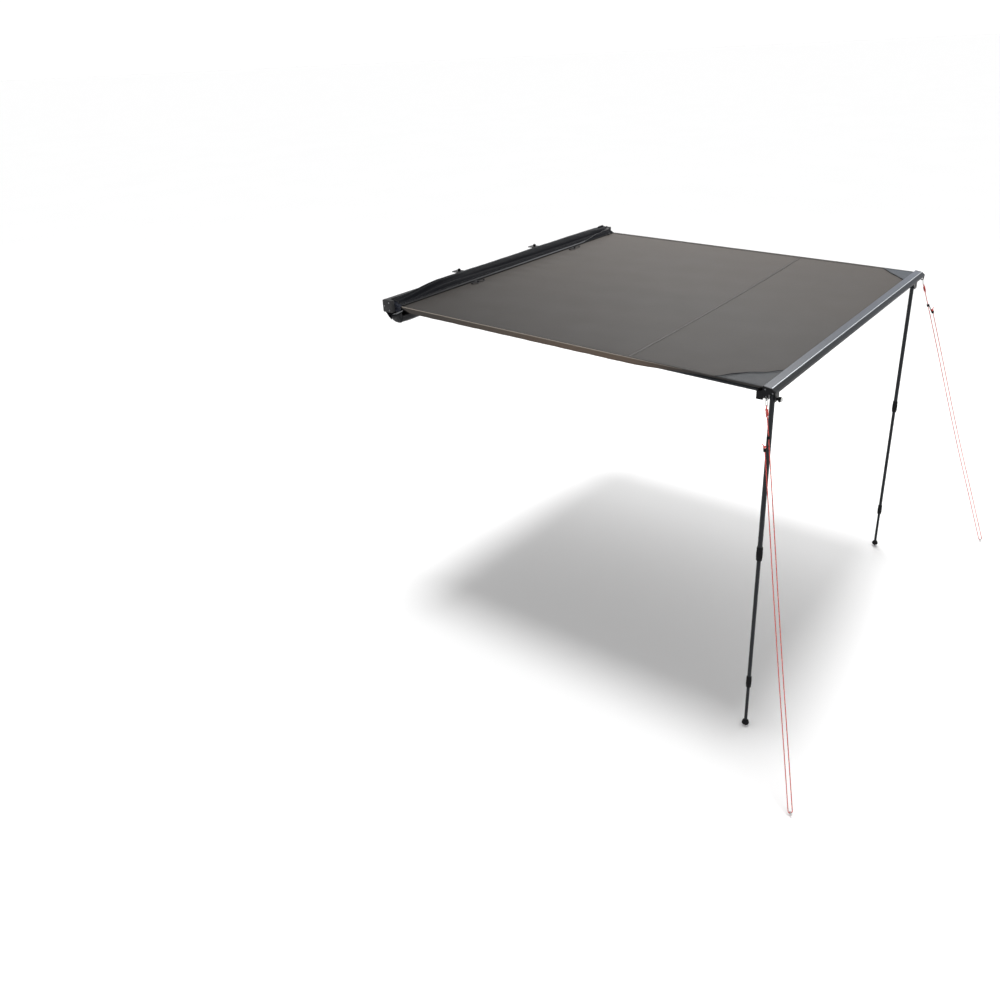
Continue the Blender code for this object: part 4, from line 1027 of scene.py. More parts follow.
class AWNING_OT_stage(bpy.types.Operator):
    """Make the floor, the soft lights and the camera"""

    bl_idname = "awning.stage"
    bl_label = "Stage"

    def execute(self, context):
        scene = context.scene
        far = FLOOR_REACH
        corners = [(-far, -far, GROUND), (far, -far, GROUND), (far, far, GROUND), (-far, far, GROUND)]
        finishes["floor"] = studio_floor()
        floor = mesh_piece("studio_floor", corners, [(0, 1, 2, 3)], "floor")
        self.sky(scene)
        self.overhead(scene)
        for name, panel in PANELS.items():
            self.panel(scene, name, *panel)
        self.camera(scene)
        scene.view_settings.view_transform = "Standard"
        return {"FINISHED"}

    def sky(self, scene):
        """Soft light from all round, brightest low down, where it is the white backdrop."""
        world = bpy.data.worlds.new("studio_air")
        scene.world = world
        world.use_nodes = True
        tree = world.node_tree
        background = tree.nodes["Background"]
        place = tree.nodes.new("ShaderNodeTexCoord")
        parts = tree.nodes.new("ShaderNodeSeparateXYZ")
        fade = tree.nodes.new("ShaderNodeMapRange")
        tree.links.new(place.outputs["Generated"], parts.inputs[0])
        tree.links.new(parts.outputs["Z"], fade.inputs["Value"])
        fade.inputs["From Min"].default_value, fade.inputs["From Max"].default_value = SKY_FADES
        fade.inputs["To Min"].default_value = SKY_LOW
        fade.inputs["To Max"].default_value = SKY_TOP
        tree.links.new(fade.outputs[0], background.inputs["Strength"])
        background.inputs["Color"].default_value = (1.0, 1.0, 1.0, 1.0)

    def overhead(self, scene):
        """A broad even light from above, a little from the plate's side."""
        data = bpy.data.lights.new("overhead", "SUN")
        data.energy = OVERHEAD_STRENGTH
        data.angle = math.radians(OVERHEAD_WIDTH)
        lamp = bpy.data.objects.new("overhead", data)
        lamp.rotation_euler = Vector(OVERHEAD_FROM).to_track_quat("Z", "Y").to_euler()
        scene.collection.objects.link(lamp)

    def panel(self, scene, name, place, target, size, power):
        data = bpy.data.lights.new(name, "AREA")
        data.size = size
        data.energy = power
        lamp = bpy.data.objects.new(name, data)
        lamp.location = place
        lamp.rotation_euler = (Vector(target) - Vector(place)).to_track_quat("-Z", "Y").to_euler()
        scene.collection.objects.link(lamp)

    def camera(self, scene):
        data = bpy.data.cameras.new("photo_camera")
        data.lens = CAMERA_LENS
        data.sensor_width = CAMERA_SENSOR
        data.sensor_fit = "HORIZONTAL"
        data.shift_x, data.shift_y = CAMERA_SHIFT
        data.clip_end = CAMERA_REACH
        camera = bpy.data.objects.new("photo_camera", data)
        axes = [Vector(CAMERA_RIGHT), -Vector(CAMERA_DOWN), -Vector(CAMERA_FORWARD)]
        turned = Matrix([axis.normalized() for axis in axes]).transposed()
        camera.matrix_world = Matrix.Translation(CAMERA_PLACE) @ turned.to_4x4()
        scene.collection.objects.link(camera)
        scene.camera = camera


class AWNING_OT_metalwork(bpy.types.Operator):
    """Give the frame's rigid pieces their finishes"""

    bl_idname = "awning.metalwork"
    bl_label = "Metalwork"

    # The finish of each rigid piece, by how its name starts. All others are black plastic.
    starts = {
        "plate": ("back_plate",),
        "rail": ("front_rail",),
        "grey plastic": ("end_cap", "zip_slider"),
        "bracket": ("mounting_bracket", "arm_bracket", "leg_hinge"),
        "zinc": ("slot_bolt", "leg_pin"),
        "tube": ("arm_outer", "arm_inner", "leg_upper_tube", "leg_middle_tube", "leg_lower_tube"),
        "steel": ("rope_clip", "peg"),
    }

    def execute(self, context):
        make_finishes()
        for name, node in frame["nodes"].items():
            chosen = "plastic"
            for finish, starts in self.starts.items():
                if name.startswith(starts):
                    chosen = finish
            node.data.materials.clear()
            node.data.materials.append(finishes[chosen])
            self.soften(node)
        return {"FINISHED"}

    def soften(self, node):
        """Round pieces are shaded smooth and flat ones keep their edges."""
        weld = node.modifiers.new("weld", "WELD")
        weld.merge_threshold = WELD_DISTANCE
        custom = node.data.attributes.get("custom_normal")
        if custom:
            node.data.attributes.remove(custom)
        node.data.shade_smooth()
        edges = node.modifiers.new("edges", "EDGE_SPLIT")
        edges.split_angle = math.radians(METAL_EDGE_ANGLE)
        edges.use_edge_sharp = False


class AWNING_OT_canopy(bpy.types.Operator):
    """Make the stretched cloth with its seam, its hems, its beads and their stitches"""

    bl_idname = "awning.canopy"
    bl_label = "Canopy"

    # The seam's section: a share of its width, and the height over the cloth
    seam_section = ((0.0, 0.0001), (0.08, 0.0007), (0.5, 0.0008), (0.92, 0.0007), (1.0, 0.0001))
    # The hem's section: outward, up, the share of the hem's drop below that, and 1 where it flutters
    hem_section = (
        (-0.0006, 0.0006, 0.0, 0),
        (0.0004, 0.0, 0.0, 0),
        (0.0010, -0.0012, 0.0, 0),
        (0.0010, 0.0, 0.28, 0),
        (0.0014, 0.0, 0.62, 1),
        (0.0018, 0.0, 0.90, 1),
        (0.0016, 0.0, 1.0, 1),
        (0.0002, -0.0006, 1.0, 1),
        (-0.0008, 0.0, 0.95, 1),
        (-0.0008, 0.0, 0.60, 0),
    )
    # The facing's section: inward from the edge, and up from the cloth
    facing_section = ((0.0200, 0.0002), (0.0192, 0.0009), (0.0100, 0.0010), (0.0004, 0.0010))
    # The two rows of stitches through the facing, inward from the edge
    facing_stitches = (0.0055, 0.0165)
    # How far from the rail the rolled fold ends
    fold_stops = {"near": 0.34, "far": 0.012}

    def execute(self, context):
        pieces = self.cross_seam() + self.beads()
        for end, side in SIDES.items():
            for part in (self.hem_band, self.hem_facing, self.edge_fold_and_highlight, self.hem_stitches):
                pieces.append(on_canopy(part(end, side)))
        cloth = self.cloth()
        return {"FINISHED"}

    def cloth(self):
        """The cloth runs from the plate's groove, under the bag's cover, to the rail's groove."""
        across = even_steps(-HALF_LENGTH + END_INSET, HALF_LENGTH - END_INSET, CANOPY_COLUMNS)
        out = even_steps(PLATE_FRONT + CLOTH_TUCK, COVER_FRONT, BAG_ROWS)[:-1]
        out += even_steps(COVER_FRONT, RAIL_INNER - CLOTH_TUCK, CANOPY_ROWS)
        rows = [[on_top(x, y) for x in across] for y in out]
        cloth = on_canopy(cloth_piece("canopy_cloth", rows, "canopy", CANOPY_THICKNESS))
        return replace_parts(cloth, "awning_canopy")

    def cross_seam(self):
        """A lapped seam across the cloth, with two rows of stitches and a slight pucker."""
        across = even_steps(-HALF_LENGTH + SEAM_INSET, HALF_LENGTH - SEAM_INSET, 260)
        rows = []
        for share, lift in self.seam_section:
            row = []
            for x in across:
                drawn = math.sin(x * TURN / PUCKER_PITCH + 2.0 * math.sin(x * 9.0))
                pucker = PUCKER_HEIGHT * drawn * smooth_step(1.0, -0.2, x) * math.sin(math.pi * share)
                row.append(on_top(x, seam_place(x) + SEAM_WIDTH * (0.5 - share), lift + pucker))
            rows.append(row)
        seam = on_canopy(cloth_piece("canopy_cross_seam", rows, "seam", DOUBLED_CLOTH, 1.0))
        pile = Pile()
        for offset in (-SEAM_STITCH_PLACE, SEAM_STITCH_PLACE):
            path = [on_top(x, seam_place(x) + offset, 0.0012) for x in across]
            stitch_row(pile, path, UP, SEAM_THREAD_RADIUS)
        stitches = on_canopy(pile.piece("canopy_seam_stitches", "seam thread"))
        return [seam, stitches]

    def beads(self):
        """The beads that hold the cloth in the plate's and the rail's grooves."""
        grooves = (("plate", PLATE_FRONT + BEAD_DEPTH, "base"), ("rail", RAIL_INNER - BEAD_DEPTH, "rail"))
        made = []
        for name, y, body in grooves:
            height = canopy_height(y) - 0.0008
            path = [(x, y, height) for x in even_steps(-HALF_LENGTH + 0.001, HALF_LENGTH - 0.001, 8)]
            bead = tube_piece(f"canopy_bead_{name}", path, BEAD_RADIUS, "piping", 10)
            made.append(belongs(bead, body))
        return made

    def edge_steps(self, stop, start=0.001):
        """Places along a free edge, from just outside the bag to a set distance from the rail."""
        return even_steps(COVER_FRONT - start, RAIL_INNER + stop, HEM_STEPS)

    def hem_band(self, end, side):
        rows = []
        for y in self.edge_steps(0.012):
            drop = hem_drop(y)
            flutter = 0.0009 * math.sin(y * 31.0 + side) + 0.0006 * math.sin(y * 74.0)
            top = canopy_top(side * HALF_LENGTH, y)
            row = []
            for outward, up, hangs, flutters in self.hem_section:
                x = side * (HALF_LENGTH - HEM_INSET + outward + flutters * flutter)
                row.append(Vector((x, y, top + up - hangs * drop)))
            rows.append(facing_out(row, side))
        return cloth_piece(f"canopy_hem_{end}", rows, "hem" if end == "near" else "dark hem", 0.0008, 0.0)

    def hem_facing(self, end, side):
        """The hem's inner edge, sewn flat on the cloth."""
        rows = []
        for y in self.edge_steps(0.006):
            row = [on_top(side * (HALF_LENGTH - inward), y, lift) for inward, lift in self.facing_section]
            rows.append(facing_out(row, side))
        return cloth_piece(f"canopy_hem_facing_{end}", rows, "canopy", DOUBLED_CLOTH, 0.0)

    def edge_fold_and_highlight(self, end, side):
        """The rolled fold along the hem's top, which thins out toward the rail. On the near edge its light
        colour is a painted highlight.
        """
        stop = self.fold_stops[end]
        path = []
        for y in self.edge_steps(stop, 0.002):
            path.append((side * (HALF_LENGTH + 0.0002), y, canopy_top(side * HALF_LENGTH, y) + 0.0010))
        total = CANOPY_OUTREACH - stop

        def thins(along, _):
            return FOLD_RADIUS * min(1.0, 0.15 + (total - along) / FOLD_TAPER)

        # On the near edge the fold's light colour is a painted highlight.
        finish = "edge fold highlight" if end == "near" else "dark hem"
        return tube_piece(f"canopy_edge_fold_{end}", path, thins, finish)

    def hem_stitches(self, end, side):
        """Two rows through the facing and one along the foot of the hem."""
        out = self.edge_steps(0.012)
        pile = Pile()
        for inward in self.facing_stitches:
            x = side * (HALF_LENGTH - inward)
            stitch_row(pile, [on_top(x, y, 0.0013) for y in out], UP)
        path = []
        for y in out:
            low = canopy_top(side * HALF_LENGTH, y) - 0.80 * hem_drop(y)
            path.append(Vector((side * (HALF_LENGTH + 0.0019), y, low)))
        stitch_row(pile, path, Vector((side, 0, 0)))
        return pile.piece(f"canopy_hem_stitches_{end}", "dark thread")


class AWNING_OT_corner_patches(bpy.types.Operator):
    """Make the darker triangles that are sewn on the canopy's outer corners"""

    bl_idname = "awning.corner_patches"
    bl_label = "Corner patches"

    # Each patch's two legs, the bulge of its long edge as a share, and the swell of that edge's fold
    along_rail = {"near": 0.206, "far": 0.200}
    along_hem = {"near": 0.198, "far": 0.168}
    bulges = {"near": 0.075, "far": 0.03}
    fold_swells = {"near": 0.0016, "far": 0.0006}
    # How far the patches lie in from the canopy's edge and off the rail, and over the canopy
    off_edge = 0.0035
    off_rail = 0.0020
    over_canopy = 0.0013
    # From this share of the way to the long edge on, the cloth is loose and lifts a little
    loose_from = 0.86
    loose_lift = 0.0022
    # Its stitches lie this share off the two legs and at this share of the way to the long edge
    stitched_off = 0.03
    stitched_to = 0.93

    def execute(self, context):
        for end, side in SIDES.items():
            self.patch(end, side)
        return {"FINISHED"}

    def place(self, end, side, rail_share, hem_share, lift=0.0):
        """A point of the patch from its shares of the two legs, with its long edge a little wavy."""
        total = rail_share + hem_share
        wave = 1.0
        if total > 0:
            turned = hem_share / total
            wave += total * self.bulges[end] * bell(turned, 0.60, 0.17)
            wave += total * 0.010 * math.sin(turned * 17.0) * math.sin(turned * math.pi)
        x = side * (HALF_LENGTH - self.off_edge - self.along_rail[end] * rail_share * wave)
        y = RAIL_INNER + self.off_rail + self.along_hem[end] * hem_share * wave
        loose = max(0.0, total - self.loose_from) / (1 - self.loose_from)
        loose *= abs(math.sin(9.0 * hem_share + 1.0))
        return on_top(x, y, self.over_canopy + lift + self.loose_lift * loose)

    def triangle(self, end, side):
        """The patch's mesh: rows of triangles that widen from the corner to the long edge."""
        points = []
        faces = []
        for step in range(PATCH_STEPS + 1):
            for index in range(step + 1):
                share = step / PATCH_STEPS
                part = index / step if step else 0.0
                points.append(self.place(end, side, share * (1 - part), share * part))
        for step in range(PATCH_STEPS):
            upper = step * (step + 1) // 2
            lower = upper + step + 1
            for index in range(step + 1):
                faces.append((upper + index, lower + index, lower + index + 1))
                if index < step:
                    faces.append((upper + index, lower + index + 1, upper + index + 1))
        faces = [facing_out(face, -side) for face in faces]
        return mesh_piece(f"canopy_corner_patch_{end}", points, faces, "patch")

    def patch(self, end, side):
        cloth = self.triangle(end, side)
        thicken(cloth, CANOPY_THICKNESS, -1.0)
        belongs(cloth, "rail")
        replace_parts(cloth, f"corner_patch_{end}")
        trim = [self.edge(end, side), self.stitches(end, side)]
        for piece in trim:
            belongs(piece, "rail")

    def edge(self, end, side):
        """The fold along the patch's long edge, thickest past its middle, dark as a painted shadow of the
        lifted edge.
        """
        path = [self.place(end, side, 1 - part, part, 0.0002) for part in even_steps(0.0, 1.0, 60)]
        total = path_length(path)

        def swells(along, _):
            return 0.0012 + self.fold_swells[end] * bell(along / total, 0.66, 0.20)

        return tube_piece(f"canopy_patch_shadow_edge_{end}", path, swells, "patch shadow edge")

    def stitches(self, end, side):
        """A row inside each of the patch's three edges."""
        to, off = self.stitched_to, self.stitched_off
        lines = [[(to * (1 - part), to * part) for part in even_steps(0.0, 1.0, 60)]]
        lines.append([(off, share) for share in even_steps(0.05, 0.92, 40)])
        lines.append([(share, off) for share in even_steps(0.03, 0.9, 40)])
        pile = Pile()
        for line in lines:
            stitch_row(pile, [self.place(end, side, rail, hem, 0.0003) for rail, hem in line], UP)
        return pile.piece(f"canopy_patch_stitches_{end}", "grey thread")


def cover_place(x, share):
    """A point of the bag's cover, from the plate's top to the cover's front edge.

    The cover lies open but for its near end, where it gathers in pleats, and its far end, where it
    starts to roll. A valley and a swell run along it behind its front edge.
    """
    opened = smooth_step(*COVER_OPENS, x)
    gathered = smooth_step(*COVER_GATHERS, x)
    rolled = smooth_step(*COVER_ROLLS, x)
    rear = Vector((-COVER_REAR_INSET - COVER_REAR_DRAWN * (1 - opened), PLATE_HIGH.z + 0.0008))
    front = Vector((COVER_FRONT + COVER_FRONT_INSET, COVER_FRONT_LEVEL))
    out, level = rear.lerp(front, share)
    crown = bpy.context.scene.awning_sizes.crown * (0.10 + 0.90 * opened) * (1 - 0.45 * max(0.0, x) ** 6)
    rise = crown * math.sin(math.pi * share**0.8)
    pleat = math.sin(TURN * (share * PLEATS + 0.42 * x + 0.05 * math.sin(6.0 * x)))
    drift = 0.05 * math.sin(2.3 * x + 0.6)
    folds = PLEAT_HEIGHT * math.copysign(abs(pleat) ** 0.7, pleat) * gathered
    folds += ROLL_HEIGHT * math.sin(TURN * (share * ROLLS - 0.7 * (x - 0.7))) * rolled
    folds -= VALLEY_DEPTH * bell(share, VALLEY_PLACE + drift, VALLEY_WIDTH) * (1 - 0.6 * gathered)
    folds += SWELL_HEIGHT * bell(share, SWELL_PLACE, SWELL_WIDTH) * (1 - gathered)
    for height, along, over, part in COVER_CRUMPLES:
        folds += height * noise.noise(Vector((x * along, share * over, part)))
    free = math.sin(math.pi * share) * (1 - 0.6 * min(1.0, abs(x) / COVER_HIGH.x) ** 8)
    return Vector((x, out, level + rise + free * folds))


def cover_up(x, share):
    """The way out of the cover at a point."""
    along = cover_place(x + 0.001, share) - cover_place(x - 0.001, share)
    across = cover_place(x, min(1.0, share + 0.01)) - cover_place(x, max(0.0, share - 0.01))
    return across.cross(along).normalized()


def on_cover(x, share, lift):
    """A point a set height above the cover."""
    return cover_place(x, share) + cover_up(x, share) * lift


def zip_share(x):
    """Where the zip runs on the cover: along its front edge, and up over it at the far end."""
    return ZIP_SHARE - ZIP_CLIMB * smooth_step(*ZIP_CLIMB_RANGE, x)


class AWNING_OT_bag(bpy.types.Operator):
    """Make the bag's cover, its lower flap, its zip, its bindings and its rolled far end"""

    bl_idname = "awning.bag"
    bl_label = "Bag"

    # The zip tape's section: its place from the zip's line as a share of the cover, and its height
    tape_section = ((-0.040, 0.0002), (-0.036, 0.0011), (-0.004, 0.0011), (0.000, 0.0002))
    # The front edge's binding: its shares of the cover with their heights, then down and outward
    edge_section = ((0.981, 0.0002), (0.984, 0.0010), (0.998, 0.0010))
    edge_turn = ((0.0024, 0.0004), (0.0048, 0.0008))
    # The rows of stitches behind the front edge, as shares of the cover, and where they stop along it
    front_stitches = (0.885, 0.925)
    front_stitches_stop = 0.70
    # The lower flap's section, as shares of the bag's reach and of the flap's depth
    flap_section = (
        (0.03, 0.0),
        (0.035, 0.20),
        (0.06, 0.50),
        (0.13, 0.77),
        (0.26, 0.93),
        (0.44, 0.985),
        (0.62, 0.965),
        (0.78, 0.90),
        (0.89, 0.77),
        (0.955, 0.55),
        (0.975, 0.31),
    )
    # The end panels: the height of their foot, its rise toward the front and where it rises, and how
    # far they stand out where they pass the canopy's edge
    gusset_foot = -0.032
    gusset_foot_rise = 0.022
    gusset_rises = (-0.066, -0.104)
    gusset_bulge = 0.0140
    # The fold along the top of the flap's end, out from the plate
    end_fold_route = ((-0.010, -0.058), (-0.045, -0.047), (-0.076, -0.034), (-0.099, -0.022))

    def execute(self, context):
        cover = self.cover()
        flap = self.flap()
        trim = self.cover_trim()
        flap_trim = self.flap_trim()
        return {"FINISHED"}

    def own(self, pieces):
        return [belongs(piece, "base") for piece in pieces]

    def cover(self):
        across = even_steps(COVER_LOW.x, COVER_HIGH.x, BAG_COLUMNS)
        rows = [[cover_place(x, share) for x in across] for share in even_steps(0.0, 1.0, 44)]
        cover = cloth_piece("bag_cover_cloth", rows, "bag", BAG_THICKNESS)
        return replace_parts(belongs(cover, "base"), "bag_cover")

    def cover_trim(self):
        """The zip, the bindings, the piping, the stitches, the end panels and the crumpled far end."""
        across = even_steps(COVER_LOW.x + 0.002, COVER_HIGH.x - 0.002, BAG_COLUMNS)
        made = [self.zip_tape(across), self.cover_edge(across), self.zip_teeth()]
        made += [self.far_stitches(), self.cover_stitches(across)]
        for end, side in SIDES.items():
            made += [self.cover_binding(end, side), self.gusset(end, side)]
        made += [self.rear_piping(), self.far_roll(), self.far_tab(), self.zip_end()]
        return self.own(made)

    def zip_tape(self, across):
        rows = []
        for offset, lift in self.tape_section:
            rows.append([on_cover(x, zip_share(x) + offset, lift) for x in across])
        return cloth_piece("bag_zip_tape", rows, "zip tape", 0.0006, 0.0)

    def cover_edge(self, across):
        """The black band that binds the cover's front edge and turns down over it."""
        rows = [[on_cover(x, share, lift) for x in across] for share, lift in self.edge_section]
        for drop, outward in self.edge_turn:
            rows.append([place + Vector((0, -outward, -drop)) for place in rows[2]])
        return cloth_piece("bag_cover_edge", rows, "black band", 0.0006, 0.0)

    def zip_teeth(self):
        pile = Pile()
        reach = ZIP_TOOTH / 2
        length = COVER_HIGH.x - COVER_LOW.x - 2 * ZIP_INSET
        for index in range(ZIP_TEETH):
            x = COVER_LOW.x + ZIP_INSET + length * index / ZIP_TEETH
            place = on_cover(x, 0.991, 0.0014) + Vector((0, -0.0006, -0.0012))
            pile.add(*box_shape(place - reach, place + reach))
        return pile.piece("bag_zip_teeth", "zip teeth", False)

    def far_stitches(self):
        """The long pale stitches beside the zip's tape, where it climbs onto the cover."""
        pile = Pile()
        far_end = even_steps(FAR_STITCHES_FROM, COVER_HIGH.x - 0.012, 60)
        path = [on_cover(x, zip_share(x) - 0.018, 0.0008) for x in far_end]
        stitch_row(pile, path, Vector((0, -0.3, 0.95)), 0.0014, 0.0115, 0.0045)
        return pile.piece("bag_far_stitches", "pale thread")

    def cover_stitches(self, across):
        """Two rows behind the front edge and one by the plate."""
        pile = Pile()
        for share in self.front_stitches:
            path = [on_cover(x, share, 0.0004) for x in across if x < self.front_stitches_stop]
            stitch_row(pile, path, Vector((0, -0.5, 0.86)), BAG_THREAD_RADIUS)
        path = [cover_place(x, 0.06) + Vector((0, 0, 0.0004)) for x in across]
        stitch_row(pile, path, UP, BAG_THREAD_RADIUS)
        return pile.piece("bag_cover_stitches", "grey thread")

    def cover_binding(self, end, side):
        """The band that binds one end of the cover."""
        x = side * (COVER_HIGH.x - 0.0012)
        path = [cover_place(x, share) + Vector((0, 0, -0.0006)) for share in even_steps(0.02, 0.985, 40)]
        return tube_piece(f"bag_cover_binding_{end}", path, 0.0022, "black band")

    def rear_piping(self):
        # A grey piping along the cover's rear edge; its pale tone is partly a painted highlight along that
        # edge.
        path = [cover_place(x, 0.015) + Vector((0, 0.0008, 0.0012)) for x in even_steps(-0.985, 0.98, 160)]
        return tube_piece("bag_rear_piping_highlight", path, 0.0013, "grey piping")

    def gusset(self, end, side):
        """The end panel from the cover's end down past the canopy's edge, crumpled where it is tucked in."""
        x = COVER_HIGH.x - 0.0010
        rows = []
        for level in even_steps(0.0, 1.0, 16):
            row = []
            for share in even_steps(0.04, 0.975, 40):
                high = cover_place(side * x, share)
                top = high.z - 0.0012
                foot = self.gusset_foot + self.gusset_foot_rise * smooth_step(*self.gusset_rises, high.y)
                z = top + (foot - top) * level
                by_canopy = bell(z, canopy_height(high.y) - 0.001, 0.012)
                out = self.gusset_bulge * by_canopy * smooth_step(0.0, 0.25, level)
                crumple = noise.noise(Vector((high.y * 75.0, z * 70.0, 3.0 * side)))
                depth = smooth_step(0.0, 0.2, level) * (0.0036 - 0.0020 * smooth_step(0.004, 0.010, out))
                row.append(Vector((side * (x + out + depth * (1 + crumple)), high.y, z)))
            rows.append(facing_out(row, side))
        return cloth_piece(f"bag_end_gusset_{end}", rows, "lining", 0.0008, 0.0)

    def far_roll(self):
        """The cover's slack at the far end, rolled up along its length and lying on the cover."""
        start = COVER_HIGH.x - FAR_ROLL_LENGTH
        path = []
        for x in even_steps(start, COVER_HIGH.x - 0.006, 36):
            settle = smooth_step(start, COVER_HIGH.x - 0.05, x)
            lift = Vector((0, 0.004 * math.sin(x * 40.0), -0.005 + 0.0055 * settle))
            path.append(cover_place(x, 0.25) + lift)

        def size(along, share):
            body = FAR_ROLL_RADIUS * smooth_step(-0.004, 0.045, along)
            lip = 0.0014 * max(0.0, math.cos(TURN * (share - 0.30 - along * 3.0))) ** 8
            crease = 0.0006 * math.sin(TURN * (share * 3 + along * 22))
            return body + lip + crease

        return tube_piece("bag_far_roll", path, size, "bag", 28)

    def far_tab(self):
        """The short webbing tab, folded to a tight loop, that the zip ends under."""
        x = COVER_HIGH.x - 0.007
        share = zip_share(x) - 0.15
        place = cover_place(x, share)
        up = cover_up(x, share)
        path = []
        for angle in even_steps(0.0, math.pi, 12):
            across = Vector((0, FAR_TAB_RADIUS * math.cos(angle), 0))
            path.append(place + across + up * (FAR_TAB_RADIUS * math.sin(angle) + 0.0005))
        return tube_piece("bag_far_tab", path, 0.0029, "black band", 10)

    def zip_end(self):
        """The crumpled end of the zip's tape, which lies loose on the cover."""
        rows = []
        for across in even_steps(0.0, 1.0, 16):
            row = []
            for along in even_steps(0.0, 1.0, 44):
                x = COVER_HIGH.x - ZIP_END_START + ZIP_END_LENGTH * along
                frayed = 0.016 * noise.noise(Vector((along * 7.0, across * 5.0, 2.9)))
                wide = 0.030 + 0.075 * along**0.7
                share = zip_share(x) + 0.020 - wide * across + frayed
                crumple = noise.noise(Vector((x * 80.0, across * 2.6, 7.3)))
                crumple += 0.4 * noise.noise(Vector((x * 170.0, across * 5.0, 1.3)))
                lift = 0.0028 + 0.0032 * crumple * math.sin(math.pi * along) ** 0.4
                row.append(on_cover(x, share, max(0.0008, lift)))
            rows.append(row)
        return cloth_piece("bag_zip_end", rows, "grey piping", 0.0008, 0.0)

    def flap_profile(self, x):
        """The lower flap's section: down from the plate, along the bottom and up at the front."""
        top = PLATE_LOW.z - 0.0006
        depth = top - FLAP_LOW.z
        end = min(1.0, abs(x) / FLAP_HIGH.x)
        points = []
        for index, (reach, drop) in enumerate(self.flap_section):
            share = index / (len(self.flap_section) - 1)
            gather = FLAP_GATHER_HEIGHT * noise.noise(Vector((x * 7.0, share * 2.4, 9.0)))
            crease = FLAP_CREASE_HEIGHT * math.sin(x * 26.0 + share * 7.0 + 2.0 * math.sin(x * 3.0))
            lift = (gather + crease + FLAP_END_LIFT * end**10) * math.sin(math.pi * share)
            y = COVER_FRONT * reach * (1 - FLAP_END_DRAWN * end**8 * share)
            points.append(Vector((x, y, top - depth * drop + lift)))
        return points

    def flap(self):
        across = even_steps(FLAP_LOW.x + 0.001, FLAP_HIGH.x - 0.001, FLAP_COLUMNS)
        columns = [self.flap_profile(x) for x in across]
        rows = [list(row) for row in zip(*columns)]
        flap = cloth_piece("bag_lower_flap_cloth", rows, "glossy bag", BAG_THICKNESS, 0.0)
        smooth = flap.modifiers.new("smooth", "SUBSURF")
        smooth.levels = 1
        smooth.render_levels = 1
        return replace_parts(belongs(flap, "base"), "bag_lower_flap")

    def flap_trim(self):
        """The flap's piping, bindings, ends and tabs, and its own side of the zip with its stitches."""
        made = []
        for end, side in SIDES.items():
            path = smooth_path(self.flap_profile(side * (FLAP_HIGH.x - 0.0018)), 6)
            made.append(tube_piece(f"bag_flap_piping_{end}", path[4:27], 0.0024, "piping"))
            made.append(tube_piece(f"bag_flap_binding_{end}", path[26:], 0.0020, "black band"))
            made.append(self.end_tab(end, side))
            made += self.flap_end(end, side)
        across = even_steps(FLAP_LOW.x + 0.003, FLAP_HIGH.x - 0.003, FLAP_COLUMNS)
        edge = [self.flap_profile(x)[-1] for x in across]
        rows = [[place + Vector((0, -0.0014, lift)) for place in edge] for lift in (-0.0040, -0.0005, 0.0045)]
        made.append(cloth_piece("bag_flap_zip_tape", rows, "zip tape", 0.0008, 0.0))
        pile = Pile()
        path = [place + Vector((0, -0.0020, -0.0022)) for place in edge]
        stitch_row(pile, path, Vector((0, -1, 0)), BAG_THREAD_RADIUS)
        made.append(pile.piece("bag_flap_stitches", "grey thread"))
        return self.own(made)

    def flap_end(self, end, side):
        """The slack cloth that closes the flap's end, with the fold along its top, whose light grey is a
        painted highlight.
        """
        x = side * (FLAP_HIGH.x - 0.0010)
        outline = smooth_path(self.flap_profile(x), 3)
        fold = smooth_path([(x, y, z) for y, z in self.end_fold_route], 10)
        rows = []
        for level in even_steps(0.0, 1.0, 10):
            row = []
            for start, above in zip(outline, fold):
                place = start.lerp(above, level)
                crumple = noise.noise(Vector((place.y * 60.0, place.z * 60.0, 5.0 * side)))
                place.x += side * (0.0060 + 0.0040 * crumple) * math.sin(math.pi * level)
                row.append(place)
            rows.append(facing_out(row, side))
        panel = cloth_piece(f"bag_flap_end_{end}", rows, "glossy bag", 0.0010, 0.0)

        def swells(along, _):
            return 0.0016 + 0.0022 * math.sin(math.pi * min(1.0, along / 0.105)) ** 0.6

        return [panel, tube_piece(f"bag_flap_fold_{end}", fold, swells, "lit fold", 10)]

    def end_tab(self, end, side):
        """The dark tab that hangs from the end cap and holds the flap's end."""
        rows = []
        for level in even_steps(0.0, 1.0, 10):
            row = []
            for across in even_steps(0.0, 1.0, 6):
                wide = 0.0290 * (1 - level) ** 0.8 + 0.0012
                x = side * (END_TAB_INNER + wide * across)
                y = -0.0060 - 0.0090 * level + 0.0010 * math.sin(8.0 * level + 3.0 * across)
                row.append(Vector((x, y, PLATE_LOW.z - 0.0026 - END_TAB_DROP * level)))
            rows.append(facing_out(row, side))
        return cloth_piece(f"bag_flap_end_tab_{end}", rows, "bag", 0.0012, 0.0)


